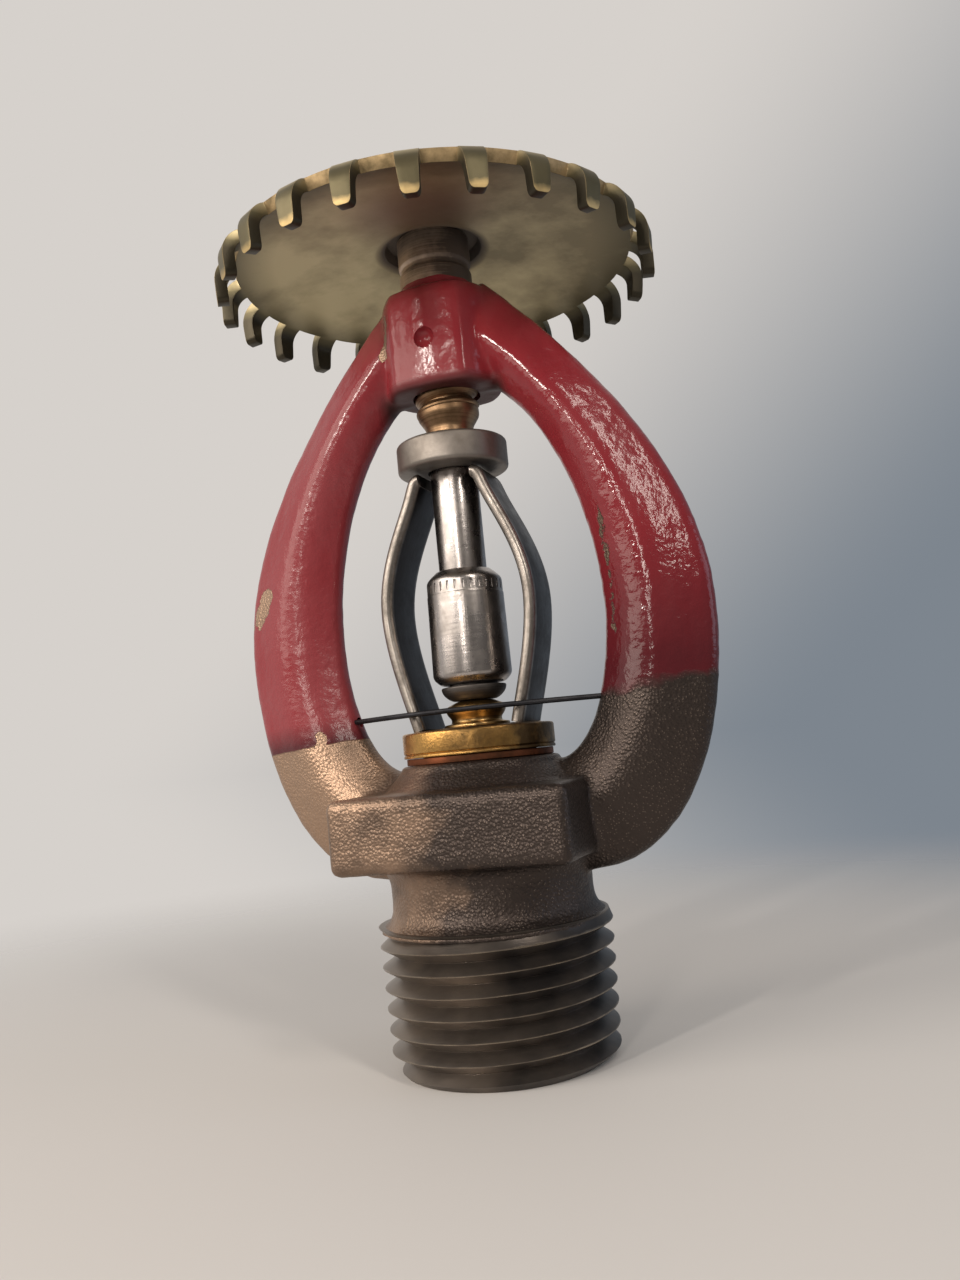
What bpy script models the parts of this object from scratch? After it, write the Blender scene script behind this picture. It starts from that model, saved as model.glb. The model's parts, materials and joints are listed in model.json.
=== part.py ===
"""Upright fire sprinkler head with a centre strut, 1/2-14 NPT, modelled piece by piece.

Metres, +Z up. The origin is the centre of the inlet end of the thread, +Z runs up the
waterway to the deflector, and the two frame arms lie in the XZ plane. The wrench pads
face -Y and +Y.
"""
import math

import bmesh
import bpy
from mathutils import Matrix, Vector

MM = 0.001
SEAT_GAP = 0.2 * MM  # between pieces that rest on each other
FULL_TURN = 2 * math.pi
STEPS = 32  # facets round a large turned piece
FINE_STEPS = 20  # facets round a small turned piece

# Pipe thread, 1/2-14 NPT: 14 threads an inch, 1 in 16 taper on the diameter.
PIPE_PITCH = 25.4 * MM / 14
PIPE_CREST_R = 10.27 * MM  # at the inlet end
PIPE_DEPTH = 1.35 * MM
PIPE_TAPER = 1 / 32
PIPE_LENGTH = 12.7 * MM
PIPE_LEAD_R = 9.38 * MM  # rounded lead-in at the inlet end

# Body of the casting: neck, wrench pads and the boss that carries the seat.
NECK_R = 9.25 * MM
NECK_FILLET = 1.7 * MM
PAD_BOTTOM_Z = 18.0 * MM
PAD_HEIGHT = 6.6 * MM
PAD_WIDTH = 21.7 * MM
PAD_ACROSS = 22.2 * MM  # spanner size, 7/8 inch
PAD_EDGE = 0.7 * MM
BOSS_R = 9.5 * MM
BOSS_HEIGHT = 2.3 * MM
SEAT_R = 7.35 * MM
INLET_R = 7.2 * MM
ORIFICE_R = 5.6 * MM
ORIFICE_LAND = 4.0 * MM

# Hub that holds the load screw, and the spigot that carries the deflector.
HUB_R = 5.5 * MM
HUB_FLAT = 4.75 * MM  # from the axis to the flat on the hub's front and back
HUB_BOTTOM_Z = 61.6 * MM
HUB_HEIGHT = 10.0 * MM
HUB_EDGE = 1.1 * MM
SPIGOT_R = 3.5 * MM
SPIGOT_HEIGHT = 5.7 * MM
RIVET_R = 2.6 * MM
RIVET_HEAD_R = 3.7 * MM
RIVET_HEAD = 0.8 * MM
DRIVER_HOLE_R = 1.6 * MM
STAKE_R = 0.85 * MM  # punch mark that locks the load screw
STAKE_Z = 66.0 * MM

# Arms: outline in the XZ plane, and a section that is thickest two fifths of the way out.
ARM_OUTER_X = 23.0 * MM
ARM_INNER_X = 13.4 * MM
ARM_WIDEST_Z = 40.0 * MM
ARM_HALF_THICK = 3.05 * MM
ARM_ROOT_EXTRA = 0.8 * MM  # half thickness gained where an arm runs into the body
ARM_STATIONS = 7
ARM_SECTION = ((0.0, 0.22), (0.06, 0.42), (0.24, 0.82), (0.42, 1.0), (0.58, 0.9), (0.8, 0.56),
               (0.94, 0.3), (1.0, 0.1))  # share of the width from the inner edge, of the half thickness

# Deflector: a shallow pressed brass dome with tines bent down at its rim.
SHEET = 1.1 * MM
TINES = 24
TINE_TURN = math.radians(1)  # how far the tines stand round from the arms
RIM_R = 21.0 * MM
BEND_R = 2.6 * MM  # outside of the bend
NOTCH_ANGLE = math.radians(22)  # how far round the bend the notches begin
TINE_ROOT_W = 2.25 * MM
TINE_TIP_W = 1.9 * MM
TINE_DROP = 3.35 * MM  # from the underside at the rim to the tips
DOME_RISE = 1.8 * MM
DISH_RISE = 1.1 * MM
DISH_R = 4.4 * MM
DISH_SLOPE = 0.5 * MM
RIVET_CLEARANCE = 0.25 * MM
DOME_RINGS = 3
BEND_STEPS = 3

# Load screw, 1/4-20.
SCREW_R = 3.05 * MM
SCREW_PITCH = 1.27 * MM
SCREW_DEPTH = 0.6 * MM
SCREW_LENGTH = 6.9 * MM
SCREW_TIP_R = 2.25 * MM
SCREW_NOSE = 2.2 * MM  # plain nose that sits in the cup
SCREW_TAPER = 1.4 * MM
SCREW_SLOT_W = 0.9 * MM
SCREW_SLOT_DEPTH = 1.2 * MM
SCREW_TIP_Z = 56.3 * MM
SCREW_CLEARANCE = 0.2 * MM

# Strut: cap, pivot, plug, solder cylinder, pellet, plunger and cup, from the seat up.
GASKET_T = 0.25 * MM
GASKET_W = 1.5 * MM
CAP_R = 7.05 * MM
CAP_T = 2.4 * MM
CAP_PLUG_R = 5.2 * MM
CAP_PLUG_DEPTH = 1.8 * MM
PIVOT_R = 2.85 * MM
PIVOT_NECK_R = 2.35 * MM
PIVOT_HEIGHT = 2.3 * MM
PLUG_R = 3.05 * MM
PLUG_TIP_R = 2.0 * MM
PLUG_CONE = 1.3 * MM
PLUG_SPIGOT = 1.8 * MM
CYLINDER_R = 3.7 * MM
CYLINDER_TOP_R = 3.55 * MM
CYLINDER_LENGTH = 9.8 * MM
CYLINDER_SHOULDER = 0.7 * MM
CYLINDER_FOOT = 0.7 * MM
CYLINDER_BORE_R = 2.45 * MM
PELLET_LENGTH = 4.5 * MM
PLUNGER_R = 2.25 * MM
PLUNGER_EDGE = 0.2 * MM
CUP_R = 5.28 * MM
CUP_T = 2.8 * MM
CUP_SOCKET = 1.3 * MM
CUP_RECESS = 0.9 * MM
CUP_EDGE = 0.3 * MM

# Levers: two bowed strips between the cap and the cup.
LEVER_T = 0.85 * MM
LEVER_W = 6.2 * MM
LEVER_FOOT_X = 4.75 * MM
LEVER_BOW_X = 7.0 * MM
LEVER_BOW_Z = 41.3 * MM
LEVER_TAB_X = 3.5 * MM
LEVER_TAB_T = 1.1 * MM  # height of the inward curl under the cup
LEVER_STATIONS = 8

# Ejector wire: a bowed spring wire across the front of the levers.
WIRE_R = 0.25 * MM
WIRE_Z = 31.55 * MM
WIRE_BOW = 4.4 * MM
WIRE_BITE = 0.9 * MM  # length held in each arm
WIRE_SEGMENTS = 14
WIRE_HOLE_EXTRA = 0.25 * MM

# Heights that follow from the sizes above.
PAD_TOP_Z = PAD_BOTTOM_Z + PAD_HEIGHT
SEAT_Z = PAD_TOP_Z + BOSS_HEIGHT
GASKET_Z = SEAT_Z + SEAT_GAP
CAP_Z = GASKET_Z + GASKET_T + SEAT_GAP
CAP_TOP_Z = CAP_Z + CAP_T
PIVOT_Z = CAP_TOP_Z + SEAT_GAP
PLUG_Z = PIVOT_Z + PIVOT_HEIGHT + SEAT_GAP
CYLINDER_Z = PLUG_Z + PLUG_CONE + SEAT_GAP
CYLINDER_TOP_Z = CYLINDER_Z + CYLINDER_LENGTH + CYLINDER_SHOULDER
PLUG_TOP_Z = CYLINDER_Z + PLUG_SPIGOT
PELLET_Z = PLUG_TOP_Z + SEAT_GAP
PLUNGER_Z = PELLET_Z + PELLET_LENGTH + SEAT_GAP
CUP_TOP_Z = SCREW_TIP_Z - SEAT_GAP + CUP_RECESS
CUP_Z = CUP_TOP_Z - CUP_T
PLUNGER_TOP_Z = CUP_Z + CUP_SOCKET - SEAT_GAP
HUB_TOP_Z = HUB_BOTTOM_Z + HUB_HEIGHT
SCREW_THREAD_Z = SCREW_TIP_Z + SCREW_NOSE + SCREW_TAPER
SHOULDER_Z = HUB_TOP_Z + SPIGOT_HEIGHT
DISH_Z = SHOULDER_Z + SEAT_GAP  # underside of the raised middle of the deflector
DEFLECTOR_Z = DISH_Z - DISH_RISE - DOME_RISE  # underside of the dome at its rim
HEAD_Z = DISH_Z + SHEET + SEAT_GAP
TOP_Z = HEAD_Z + RIVET_HEAD


# ---------------------------------------------------------------- scene and materials

def clear_scene():
    for old in list(bpy.data.objects):
        bpy.data.objects.remove(old, do_unlink=True)


def new_collection(name):
    made = bpy.data.collections.new(name)
    bpy.context.scene.collection.children.link(made)
    return made


def new_material(name, colour, roughness, metallic):
    made = bpy.data.materials.new(name)
    made.use_nodes = True
    shader = made.node_tree.nodes["Principled BSDF"]
    shader.inputs["Base Color"].default_value = (*colour, 1.0)
    shader.inputs["Roughness"].default_value = roughness
    shader.inputs["Metallic"].default_value = metallic
    made.diffuse_color = (*colour, 1.0)
    return made


def object_from(name, bm, collection, material=None, smooth=True):
    """Turn a bmesh into a named object in the given collection."""
    mesh = bpy.data.meshes.new(name)
    bm.to_mesh(mesh)
    bm.free()
    if smooth:
        mesh.shade_smooth()
        mesh.set_sharp_from_angle(angle=math.radians(35))
    made = bpy.data.objects.new(name, mesh)
    collection.objects.link(made)
    if material:
        mesh.materials.append(material)
    return made


def as_tool(made):
    """Mark an object as a solid that only joins or cuts another."""
    made.hide_render = True
    made.display_type = "WIRE"
    return made


def boolean(target, tool, operation):
    cut = target.modifiers.new(f"{operation.lower()}_{tool.name}", "BOOLEAN")
    cut.operation = operation
    cut.solver = "EXACT"
    cut.object = tool


# ---------------------------------------------------------------- shape helpers

def turned(name, profile, collection, material=None, steps=STEPS):
    """Solid of revolution about Z from (radius, height) points, outer side top to bottom."""
    bm = bmesh.new()
    points = [bm.verts.new((radius, 0.0, height)) for radius, height in profile]
    for first, second in zip(points, points[1:]):
        bm.edges.new((first, second))
    if profile[0][0] > 0 and profile[-1][0] > 0:
        bm.edges.new((points[-1], points[0]))
    made = object_from(name, bm, collection, material, smooth=False)
    screw = made.modifiers.new("turn", "SCREW")
    screw.axis = "Z"
    screw.angle = FULL_TURN
    screw.steps = steps
    screw.render_steps = steps
    screw.use_merge_vertices = True
    screw.merge_threshold = 1e-6
    screw.use_smooth_shade = True
    return made


def threaded_rod(pitch, crest_r, depth, bottom, top, steps):
    """Closed rod with a helical V thread between two heights, as a bmesh."""
    bm = bmesh.new()
    root_r = crest_r - depth
    flat = pitch * 0.12
    slope = (pitch - 2 * flat) / 2
    points = []
    start = bottom - 2 * pitch
    for turn in range(math.ceil((top - bottom) / pitch) + 4):
        base = start + turn * pitch
        for radius, height in ((root_r, 0), (root_r, flat), (crest_r, flat + slope),
                               (crest_r, 2 * flat + slope)):
            points.append(bm.verts.new((radius, 0.0, base + height)))
    edges = [bm.edges.new(pair) for pair in zip(points, points[1:])]
    bmesh.ops.spin(bm, geom=points + edges, cent=(0, 0, 0), axis=(0, 0, 1),
                   dvec=(0, 0, pitch / steps), angle=FULL_TURN, steps=steps, use_duplicate=False)
    bmesh.ops.remove_doubles(bm, verts=bm.verts, dist=1e-6)
    for height, normal in ((bottom, (0, 0, -1)), (top, (0, 0, 1))):
        bmesh.ops.bisect_plane(bm, geom=bm.verts[:] + bm.edges[:] + bm.faces[:], dist=1e-7,
                               plane_co=(0, 0, height), plane_no=normal, clear_outer=True)
        rim = [edge for edge in bm.edges if edge.is_boundary
               and all(abs(vert.co.z - height) < 1e-6 for vert in edge.verts)]
        bmesh.ops.contextual_create(bm, geom=rim)
    bmesh.ops.recalc_face_normals(bm, faces=bm.faces)
    return bm


def bezier(start, start_handle, end_handle, end, t):
    """Point at t on a cubic curve through the XZ plane."""
    s = 1 - t
    weights = (s ** 3, 3 * s * s * t, 3 * s * t * t, t ** 3)
    controls = (start, start_handle, end_handle, end)
    return tuple(sum(w * c[axis] for w, c in zip(weights, controls)) for axis in (0, 1))


def loft(name, rings, collection, material=None):
    """Closed solid through a row of rings that have the same number of points."""
    bm = bmesh.new()
    rows = [[bm.verts.new(point) for point in ring] for ring in rings]
    for first, second in zip(rows, rows[1:]):
        for k in range(len(first)):
            n = (k + 1) % len(first)
            bm.faces.new((first[k], first[n], second[n], second[k]))
    bm.faces.new(rows[0])
    bm.faces.new(rows[-1])
    bmesh.ops.recalc_face_normals(bm, faces=bm.faces)
    return object_from(name, bm, collection, material)


def box(name, low, high, collection, edge=0.0):
    """Box between two corners, with its edges rounded by a Bevel modifier."""
    bm = bmesh.new()
    size = Vector(high) - Vector(low)
    centre = (Vector(high) + Vector(low)) / 2
    bmesh.ops.create_cube(bm, size=1.0,
                          matrix=Matrix.Translation(centre) @ Matrix.Diagonal((*size, 1.0)))
    made = object_from(name, bm, collection)
    if edge:
        bevel = made.modifiers.new("edges", "BEVEL")
        bevel.width = edge
        bevel.segments = 2
    return made


# ---------------------------------------------------------------- frame casting

def pipe_thread(collection, material):
    """Tapered pipe thread with a rounded lead-in; the frame grows from it."""
    bm = threaded_rod(PIPE_PITCH, PIPE_CREST_R, PIPE_DEPTH, 0.0, PIPE_LENGTH, STEPS)
    for vert in bm.verts:
        radius = math.hypot(vert.co.x, vert.co.y)
        wanted = min(radius + vert.co.z * PIPE_TAPER, PIPE_LEAD_R + 0.9 * vert.co.z)
        vert.co.x *= wanted / radius
        vert.co.y *= wanted / radius
    return object_from("frame", bm, collection, material)


def body_core(tools):
    """Seat boss, body and waisted neck above the thread."""
    crest = PIPE_CREST_R + PIPE_LENGTH * PIPE_TAPER
    waist_z = (PAD_BOTTOM_Z + PIPE_LENGTH) / 2
    flare = (math.sin(math.pi / 6), math.cos(math.pi / 6))
    upper_z = PAD_BOTTOM_Z - NECK_FILLET
    lower_z = PIPE_LENGTH + NECK_FILLET * 0.7
    profile = [(0, SEAT_Z), (SEAT_R, SEAT_Z), (SEAT_R, SEAT_Z - 0.4 * MM),
               (BOSS_R, PAD_TOP_Z - 0.3 * MM), (BOSS_R, PAD_BOTTOM_Z + 0.5 * MM),
               (NECK_R + NECK_FILLET, PAD_BOTTOM_Z)]
    profile += [(NECK_R + NECK_FILLET * (1 - flare[1]), PAD_BOTTOM_Z - NECK_FILLET * flare[0]),
                (NECK_R, upper_z), (NECK_R - 0.1 * MM, waist_z), (NECK_R, lower_z),
                (NECK_R + (crest - NECK_R) * 0.4, PIPE_LENGTH + 0.5 * MM),
                (crest - 0.15 * MM, PIPE_LENGTH), (crest - 0.15 * MM, PIPE_LENGTH - 0.5 * MM),
                (0, PIPE_LENGTH - 0.5 * MM)]
    return as_tool(turned("body_core", profile, tools))


def hub(tools):
    """Hub, spigot and the riveted head that holds the deflector."""
    profile = [(0, TOP_Z), (RIVET_HEAD_R - 0.4 * MM, TOP_Z), (RIVET_HEAD_R, TOP_Z - 0.35 * MM),
               (RIVET_HEAD_R, HEAD_Z), (RIVET_R, HEAD_Z), (RIVET_R, SHOULDER_Z),
               (SPIGOT_R, SHOULDER_Z), (SPIGOT_R, HUB_TOP_Z + 0.7 * MM),
               (SPIGOT_R + 0.6 * MM, HUB_TOP_Z), (HUB_R - HUB_EDGE, HUB_TOP_Z),
               (HUB_R - 0.3 * HUB_EDGE, HUB_TOP_Z - 0.3 * HUB_EDGE),
               (HUB_R, HUB_TOP_Z - HUB_EDGE), (HUB_R, HUB_BOTTOM_Z + 0.4 * MM),
               (HUB_R - 0.4 * MM, HUB_BOTTOM_Z), (0, HUB_BOTTOM_Z)]
    made = as_tool(turned("hub", profile, tools))
    flats = box("hub_flats", (-2 * HUB_R, -HUB_FLAT, HUB_BOTTOM_Z - HUB_R),
                (2 * HUB_R, HUB_FLAT, TOP_Z + HUB_R), tools)
    boolean(made, as_tool(flats), "INTERSECT")
    return made


def arm_outline(side, t):
    """Inner and outer edge of an arm, t from 0 at the widest place to 1 at an end."""
    z = ARM_WIDEST_Z
    if side == "upper":
        root = (HUB_R - 0.3 * MM, HUB_BOTTOM_Z)
        inner = bezier((ARM_INNER_X, z), (ARM_INNER_X, z + 8 * MM),
                       (root[0] + 5.2 * MM, root[1] - 4.7 * MM), root, t)
        top = (HUB_R - 0.7 * MM, HUB_TOP_Z + 0.4 * MM)
        outer = bezier((ARM_OUTER_X, z - 1 * MM), (ARM_OUTER_X, z + 10 * MM),
                       (top[0] + 10.7 * MM, top[1] - 10.9 * MM), top, t)
    else:
        root = (BOSS_R - 1.5 * MM, SEAT_Z - 0.7 * MM)
        inner = bezier((ARM_INNER_X, z), (ARM_INNER_X, z - 6 * MM),
                       (root[0] + 3.5 * MM, root[1] + 0.8 * MM), root, t)
        foot = (NECK_R + 0.6 * MM, PAD_BOTTOM_Z - 1.6 * MM)
        outer = bezier((ARM_OUTER_X, z - 1 * MM), (ARM_OUTER_X, z - 11.5 * MM),
                       (foot[0] + 9.4 * MM, foot[1] + 0.5 * MM), foot, t)
    return inner, outer


def arm_ring(inner, outer, half_thick, side):
    """Section of an arm between its inner and outer edge, on the side given by the sign."""
    front = [(u, -v) for u, v in ARM_SECTION]
    back = [(u, v) for u, v in reversed(ARM_SECTION)]
    return [(side * (inner[0] + (outer[0] - inner[0]) * u), v * half_thick,
             inner[1] + (outer[1] - inner[1]) * u) for u, v in front + back]


def arm(name, side, tools):
    """One arm, from inside the body, out and up to inside the hub."""
    rings = []
    foot_inner, foot_outer = arm_outline("lower", 1.0)
    inset = 3 * MM
    root_thick = ARM_HALF_THICK + ARM_ROOT_EXTRA
    rings.append(arm_ring((foot_inner[0] - inset, foot_inner[1]),
                          (foot_outer[0] - inset, foot_outer[1]), root_thick, side))
    for k in range(ARM_STATIONS, 0, -1):
        t = k / ARM_STATIONS
        rings.append(arm_ring(*arm_outline("lower", t), ARM_HALF_THICK + ARM_ROOT_EXTRA * t ** 3, side))
    for k in range(ARM_STATIONS + 1):
        t = k / ARM_STATIONS
        rings.append(arm_ring(*arm_outline("upper", t), ARM_HALF_THICK, side))
    top_inner, top_outer = arm_outline("upper", 1.0)
    rings.append(arm_ring((top_inner[0] - inset, top_inner[1] + 0.2 * MM),
                          (top_outer[0] - inset, HUB_TOP_Z - HUB_EDGE), ARM_HALF_THICK * 0.8, side))
    return as_tool(loft(name, rings, tools))


def wire_point(x):
    """Centre of the ejector wire at x: a shallow bow in front of the levers."""
    return (x, -WIRE_BOW * (1 - (x / wire_reach()) ** 2), WIRE_Z)


def wire_reach():
    """Distance from the axis to a wire end, WIRE_BITE inside the arm's inner edge."""
    nearest = min((arm_outline("lower", k / 40)[0] for k in range(41)),
                  key=lambda point: abs(point[1] - WIRE_Z))
    return nearest[0] + WIRE_BITE


def wire_hole(name, side, tools):
    """Blind hole in an arm that holds one end of the wire."""
    end = Vector(wire_point(side * wire_reach()))
    inward = (Vector(wire_point(side * (wire_reach() - 1 * MM))) - end).normalized()
    depth = SEAT_GAP
    length = depth + 2.5 * MM
    centre = end + inward * (length / 2 - depth)
    turn = Vector((0, 0, 1)).rotation_difference(inward).to_matrix().to_4x4()
    radius = WIRE_R + WIRE_HOLE_EXTRA
    bm = bmesh.new()
    bmesh.ops.create_cone(bm, cap_ends=True, segments=10, radius1=radius, radius2=radius,
                          depth=length, matrix=Matrix.Translation(centre) @ turn)
    return as_tool(object_from(name, bm, tools))


def make_frame(parts, tools, material):
    """The one casting: thread, body, arms and hub joined, then bored."""
    frame = pipe_thread(parts, material)
    for piece in (body_core(tools),
                  as_tool(box("pads", (-PAD_WIDTH / 2, -PAD_ACROSS / 2, PAD_BOTTOM_Z),
                              (PAD_WIDTH / 2, PAD_ACROSS / 2, PAD_TOP_Z), tools, PAD_EDGE)),
                  arm("left_arm", -1, tools), arm("right_arm", 1, tools), hub(tools)):
        boolean(frame, piece, "UNION")
    past = 2 * MM
    waterway = turned("waterway", [(0, SEAT_Z + past), (ORIFICE_R, SEAT_Z + past),
                                   (ORIFICE_R, SEAT_Z - ORIFICE_LAND), (INLET_R, past),
                                   (INLET_R, -past), (0, -past)], tools)
    hole_r = SCREW_R + SCREW_CLEARANCE
    chamber_z = SCREW_THREAD_Z + SCREW_LENGTH + SCREW_PITCH + 1.5 * MM
    screw_hole = turned("screw_hole", [(0, TOP_Z + past), (DRIVER_HOLE_R, TOP_Z + past),
                                       (DRIVER_HOLE_R, chamber_z), (hole_r, chamber_z - 1.2 * MM),
                                       (hole_r, HUB_BOTTOM_Z - past), (0, HUB_BOTTOM_Z - past)],
                        tools, steps=FINE_STEPS)
    bm = bmesh.new()
    bmesh.ops.create_uvsphere(bm, u_segments=10, v_segments=6, radius=STAKE_R,
                              matrix=Matrix.Translation((0, -HUB_FLAT - STAKE_R * 0.35, STAKE_Z)))
    stake = object_from("stake_mark", bm, tools)
    for cutter in (waterway, screw_hole, stake):
        boolean(frame, as_tool(cutter), "DIFFERENCE")
    for name, side in (("left_wire_hole", -1), ("right_wire_hole", 1)):
        boolean(frame, wire_hole(name, side, tools), "DIFFERENCE")
    return frame


# ---------------------------------------------------------------- deflector

def deflector(parts, material):
    """Pressed disc: dished middle, shallow dome, and tines bent down at the rim."""
    bend_mid = BEND_R - SHEET / 2
    bend_r = RIM_R - BEND_R
    tilt = math.atan(2 * DOME_RISE / bend_r)  # slope of the dome where the bend begins
    edge_r = bend_r + bend_mid * math.sin(tilt)
    edge_z = DEFLECTOR_Z + SHEET / 2
    bend_z = edge_z - bend_mid * math.cos(tilt)
    dish_z = DISH_Z + SHEET / 2
    rings = [(RIVET_R + RIVET_CLEARANCE, dish_z), (DISH_R, dish_z)]
    dome_r = DISH_R + DISH_SLOPE
    for k in range(DOME_RINGS + 1):
        radius = dome_r + (edge_r - dome_r) * k / DOME_RINGS
        rings.append((radius, edge_z + DOME_RISE * (1 - (radius / edge_r) ** 2)))
    notch = (bend_r + bend_mid * math.sin(NOTCH_ANGLE), bend_z + bend_mid * math.cos(NOTCH_ANGLE))
    rings.append(notch)
    half_root = math.asin(TINE_ROOT_W / 2 / notch[0])
    pitch = FULL_TURN / TINES
    offsets = (-half_root, 0.0, half_root, pitch / 2)
    angles = [k * pitch + TINE_TURN + offset for k in range(TINES) for offset in offsets]
    bm = bmesh.new()
    rows = [[bm.verts.new((r * math.cos(a), r * math.sin(a), z)) for a in angles]
            for r, z in rings]
    count = len(angles)
    for inner, outer in zip(rows, rows[1:]):
        for k in range(count):
            n = (k + 1) % count
            bm.faces.new((inner[k], outer[k], outer[n], inner[n]))
    turn = (math.pi / 2 - NOTCH_ANGLE) / BEND_STEPS
    bend = [NOTCH_ANGLE + turn * k for k in range(1, BEND_STEPS + 1)]
    path = [(bend_r + bend_mid * math.sin(a), bend_z + bend_mid * math.cos(a)) for a in bend]
    path.append((RIM_R - SHEET / 2, DEFLECTOR_Z - TINE_DROP))
    for tine in range(TINES):
        angle = tine * pitch + TINE_TURN
        out = Vector((math.cos(angle), math.sin(angle), 0))
        across = Vector((-math.sin(angle), math.cos(angle), 0))
        last = [rows[-1][tine * len(offsets) + k] for k in range(3)]
        for radius, height in path:
            drop = (notch[1] - height) / (notch[1] - path[-1][1])
            half = (TINE_ROOT_W + (TINE_TIP_W - TINE_ROOT_W) * drop) / 2
            row = [bm.verts.new(out * radius + across * side * half + Vector((0, 0, height)))
                   for side in (-1, 0, 1)]
            for k in range(2):
                bm.faces.new((last[k], row[k], row[k + 1], last[k + 1]))
            last = row
    bmesh.ops.recalc_face_normals(bm, faces=bm.faces)
    made = object_from("deflector", bm, parts, material)
    sheet = made.modifiers.new("sheet", "SOLIDIFY")
    sheet.thickness = SHEET
    sheet.offset = 0.0
    sheet.use_even_offset = True
    return made


# ---------------------------------------------------------------- screw and strut

def load_screw(parts, tools, material):
    """Threaded screw with a plain nose, and a driver slot in its upper end."""
    bottom = SCREW_THREAD_Z
    top = bottom + SCREW_LENGTH
    bm = threaded_rod(SCREW_PITCH, SCREW_R, SCREW_DEPTH, bottom, top, FINE_STEPS)
    screw = object_from("load_screw", bm, parts, material)
    core = SCREW_R - SCREW_DEPTH
    shoulder = SCREW_R - 0.1 * MM
    nose_z = SCREW_TIP_Z + SCREW_NOSE
    tip = turned("screw_tip", [(0, bottom + 1 * MM), (core, bottom + 1 * MM),
                               (shoulder, bottom + 0.4 * MM), (shoulder, bottom - 0.3 * MM),
                               (SCREW_TIP_R, nose_z), (SCREW_TIP_R, SCREW_TIP_Z + 0.3 * MM),
                               (SCREW_TIP_R - 0.3 * MM, SCREW_TIP_Z), (0, SCREW_TIP_Z)],
                 tools, steps=FINE_STEPS)
    boolean(screw, as_tool(tip), "UNION")
    half = SCREW_SLOT_W / 2
    slot = box("screw_slot", (-SCREW_R * 1.5, -half, top - SCREW_SLOT_DEPTH),
               (SCREW_R * 1.5, half, top + SCREW_SLOT_DEPTH), tools)
    boolean(screw, as_tool(slot), "DIFFERENCE")
    return screw


def strut_cup(parts, material):
    """Disc with a recess for the screw tip above and a socket for the plunger below."""
    recess_r = SCREW_TIP_R + SEAT_GAP + 0.1 * MM
    socket_r = PLUNGER_R + SEAT_GAP
    floor_z = CUP_TOP_Z - CUP_RECESS
    profile = [(0, floor_z), (recess_r, floor_z), (recess_r + 0.2 * MM, CUP_TOP_Z),
               (CUP_R - CUP_EDGE, CUP_TOP_Z), (CUP_R, CUP_TOP_Z - CUP_EDGE),
               (CUP_R, CUP_Z + CUP_EDGE), (CUP_R - CUP_EDGE, CUP_Z), (socket_r, CUP_Z),
               (socket_r, CUP_Z + CUP_SOCKET), (0, CUP_Z + CUP_SOCKET)]
    return turned("strut_cup", profile, parts, material)


def plunger(parts, material):
    edge = PLUNGER_EDGE
    profile = [(0, PLUNGER_TOP_Z), (PLUNGER_R - edge, PLUNGER_TOP_Z), (PLUNGER_R, PLUNGER_TOP_Z - edge),
               (PLUNGER_R, PLUNGER_Z + edge), (PLUNGER_R - edge, PLUNGER_Z), (0, PLUNGER_Z)]
    return turned("plunger", profile, parts, material, FINE_STEPS)


def solder_cylinder(parts, material):
    """Thin tube open at both ends, with a shoulder at its mouth and a rounded foot."""
    body_top = CYLINDER_Z + CYLINDER_LENGTH
    mouth = CYLINDER_BORE_R + 0.15 * MM
    profile = [(mouth, CYLINDER_TOP_Z), (CYLINDER_TOP_R - 0.3 * MM, body_top + 0.1 * MM),
               (CYLINDER_TOP_R, body_top - 0.25 * MM), (CYLINDER_R, CYLINDER_Z + CYLINDER_FOOT),
               (CYLINDER_R - 0.2 * CYLINDER_FOOT, CYLINDER_Z + 0.35 * CYLINDER_FOOT),
               (CYLINDER_R - CYLINDER_FOOT, CYLINDER_Z), (CYLINDER_BORE_R, CYLINDER_Z),
               (CYLINDER_BORE_R, CYLINDER_TOP_Z - 0.15 * MM)]
    return turned("solder_cylinder", profile, parts, material, STEPS)


def solder_pellet(parts, material):
    radius = CYLINDER_BORE_R - SEAT_GAP
    top = PELLET_Z + PELLET_LENGTH
    return turned("solder_pellet", [(0, top), (radius, top), (radius, PELLET_Z), (0, PELLET_Z)],
                  parts, material, FINE_STEPS)


def cylinder_plug(parts, material):
    """Cone under the cylinder with a spigot in its bore."""
    spigot_r = CYLINDER_BORE_R - SEAT_GAP
    flange_z = PLUG_Z + PLUG_CONE
    profile = [(0, PLUG_TOP_Z), (spigot_r - 0.2 * MM, PLUG_TOP_Z), (spigot_r, PLUG_TOP_Z - 0.2 * MM),
               (spigot_r, flange_z), (PLUG_R, flange_z), (PLUG_R, flange_z - 0.2 * MM),
               (PLUG_TIP_R, PLUG_Z), (0, PLUG_Z)]
    return turned("cylinder_plug", profile, parts, material, FINE_STEPS)


def pivot(parts, material):
    """Domed button between the plug and the cap."""
    top = PIVOT_Z + PIVOT_HEIGHT
    profile = [(0, top), (PLUG_TIP_R - 0.4 * MM, top), (PIVOT_R - 0.25 * MM, top - 0.45 * MM),
               (PIVOT_R, top - 0.95 * MM), (PIVOT_NECK_R, PIVOT_Z + 0.8 * MM),
               (PIVOT_NECK_R, PIVOT_Z + 0.55 * MM), (PIVOT_R + 0.2 * MM, PIVOT_Z + 0.15 * MM),
               (PIVOT_R + 0.2 * MM, PIVOT_Z), (0, PIVOT_Z)]
    return turned("pivot_button", profile, parts, material, FINE_STEPS)


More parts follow.
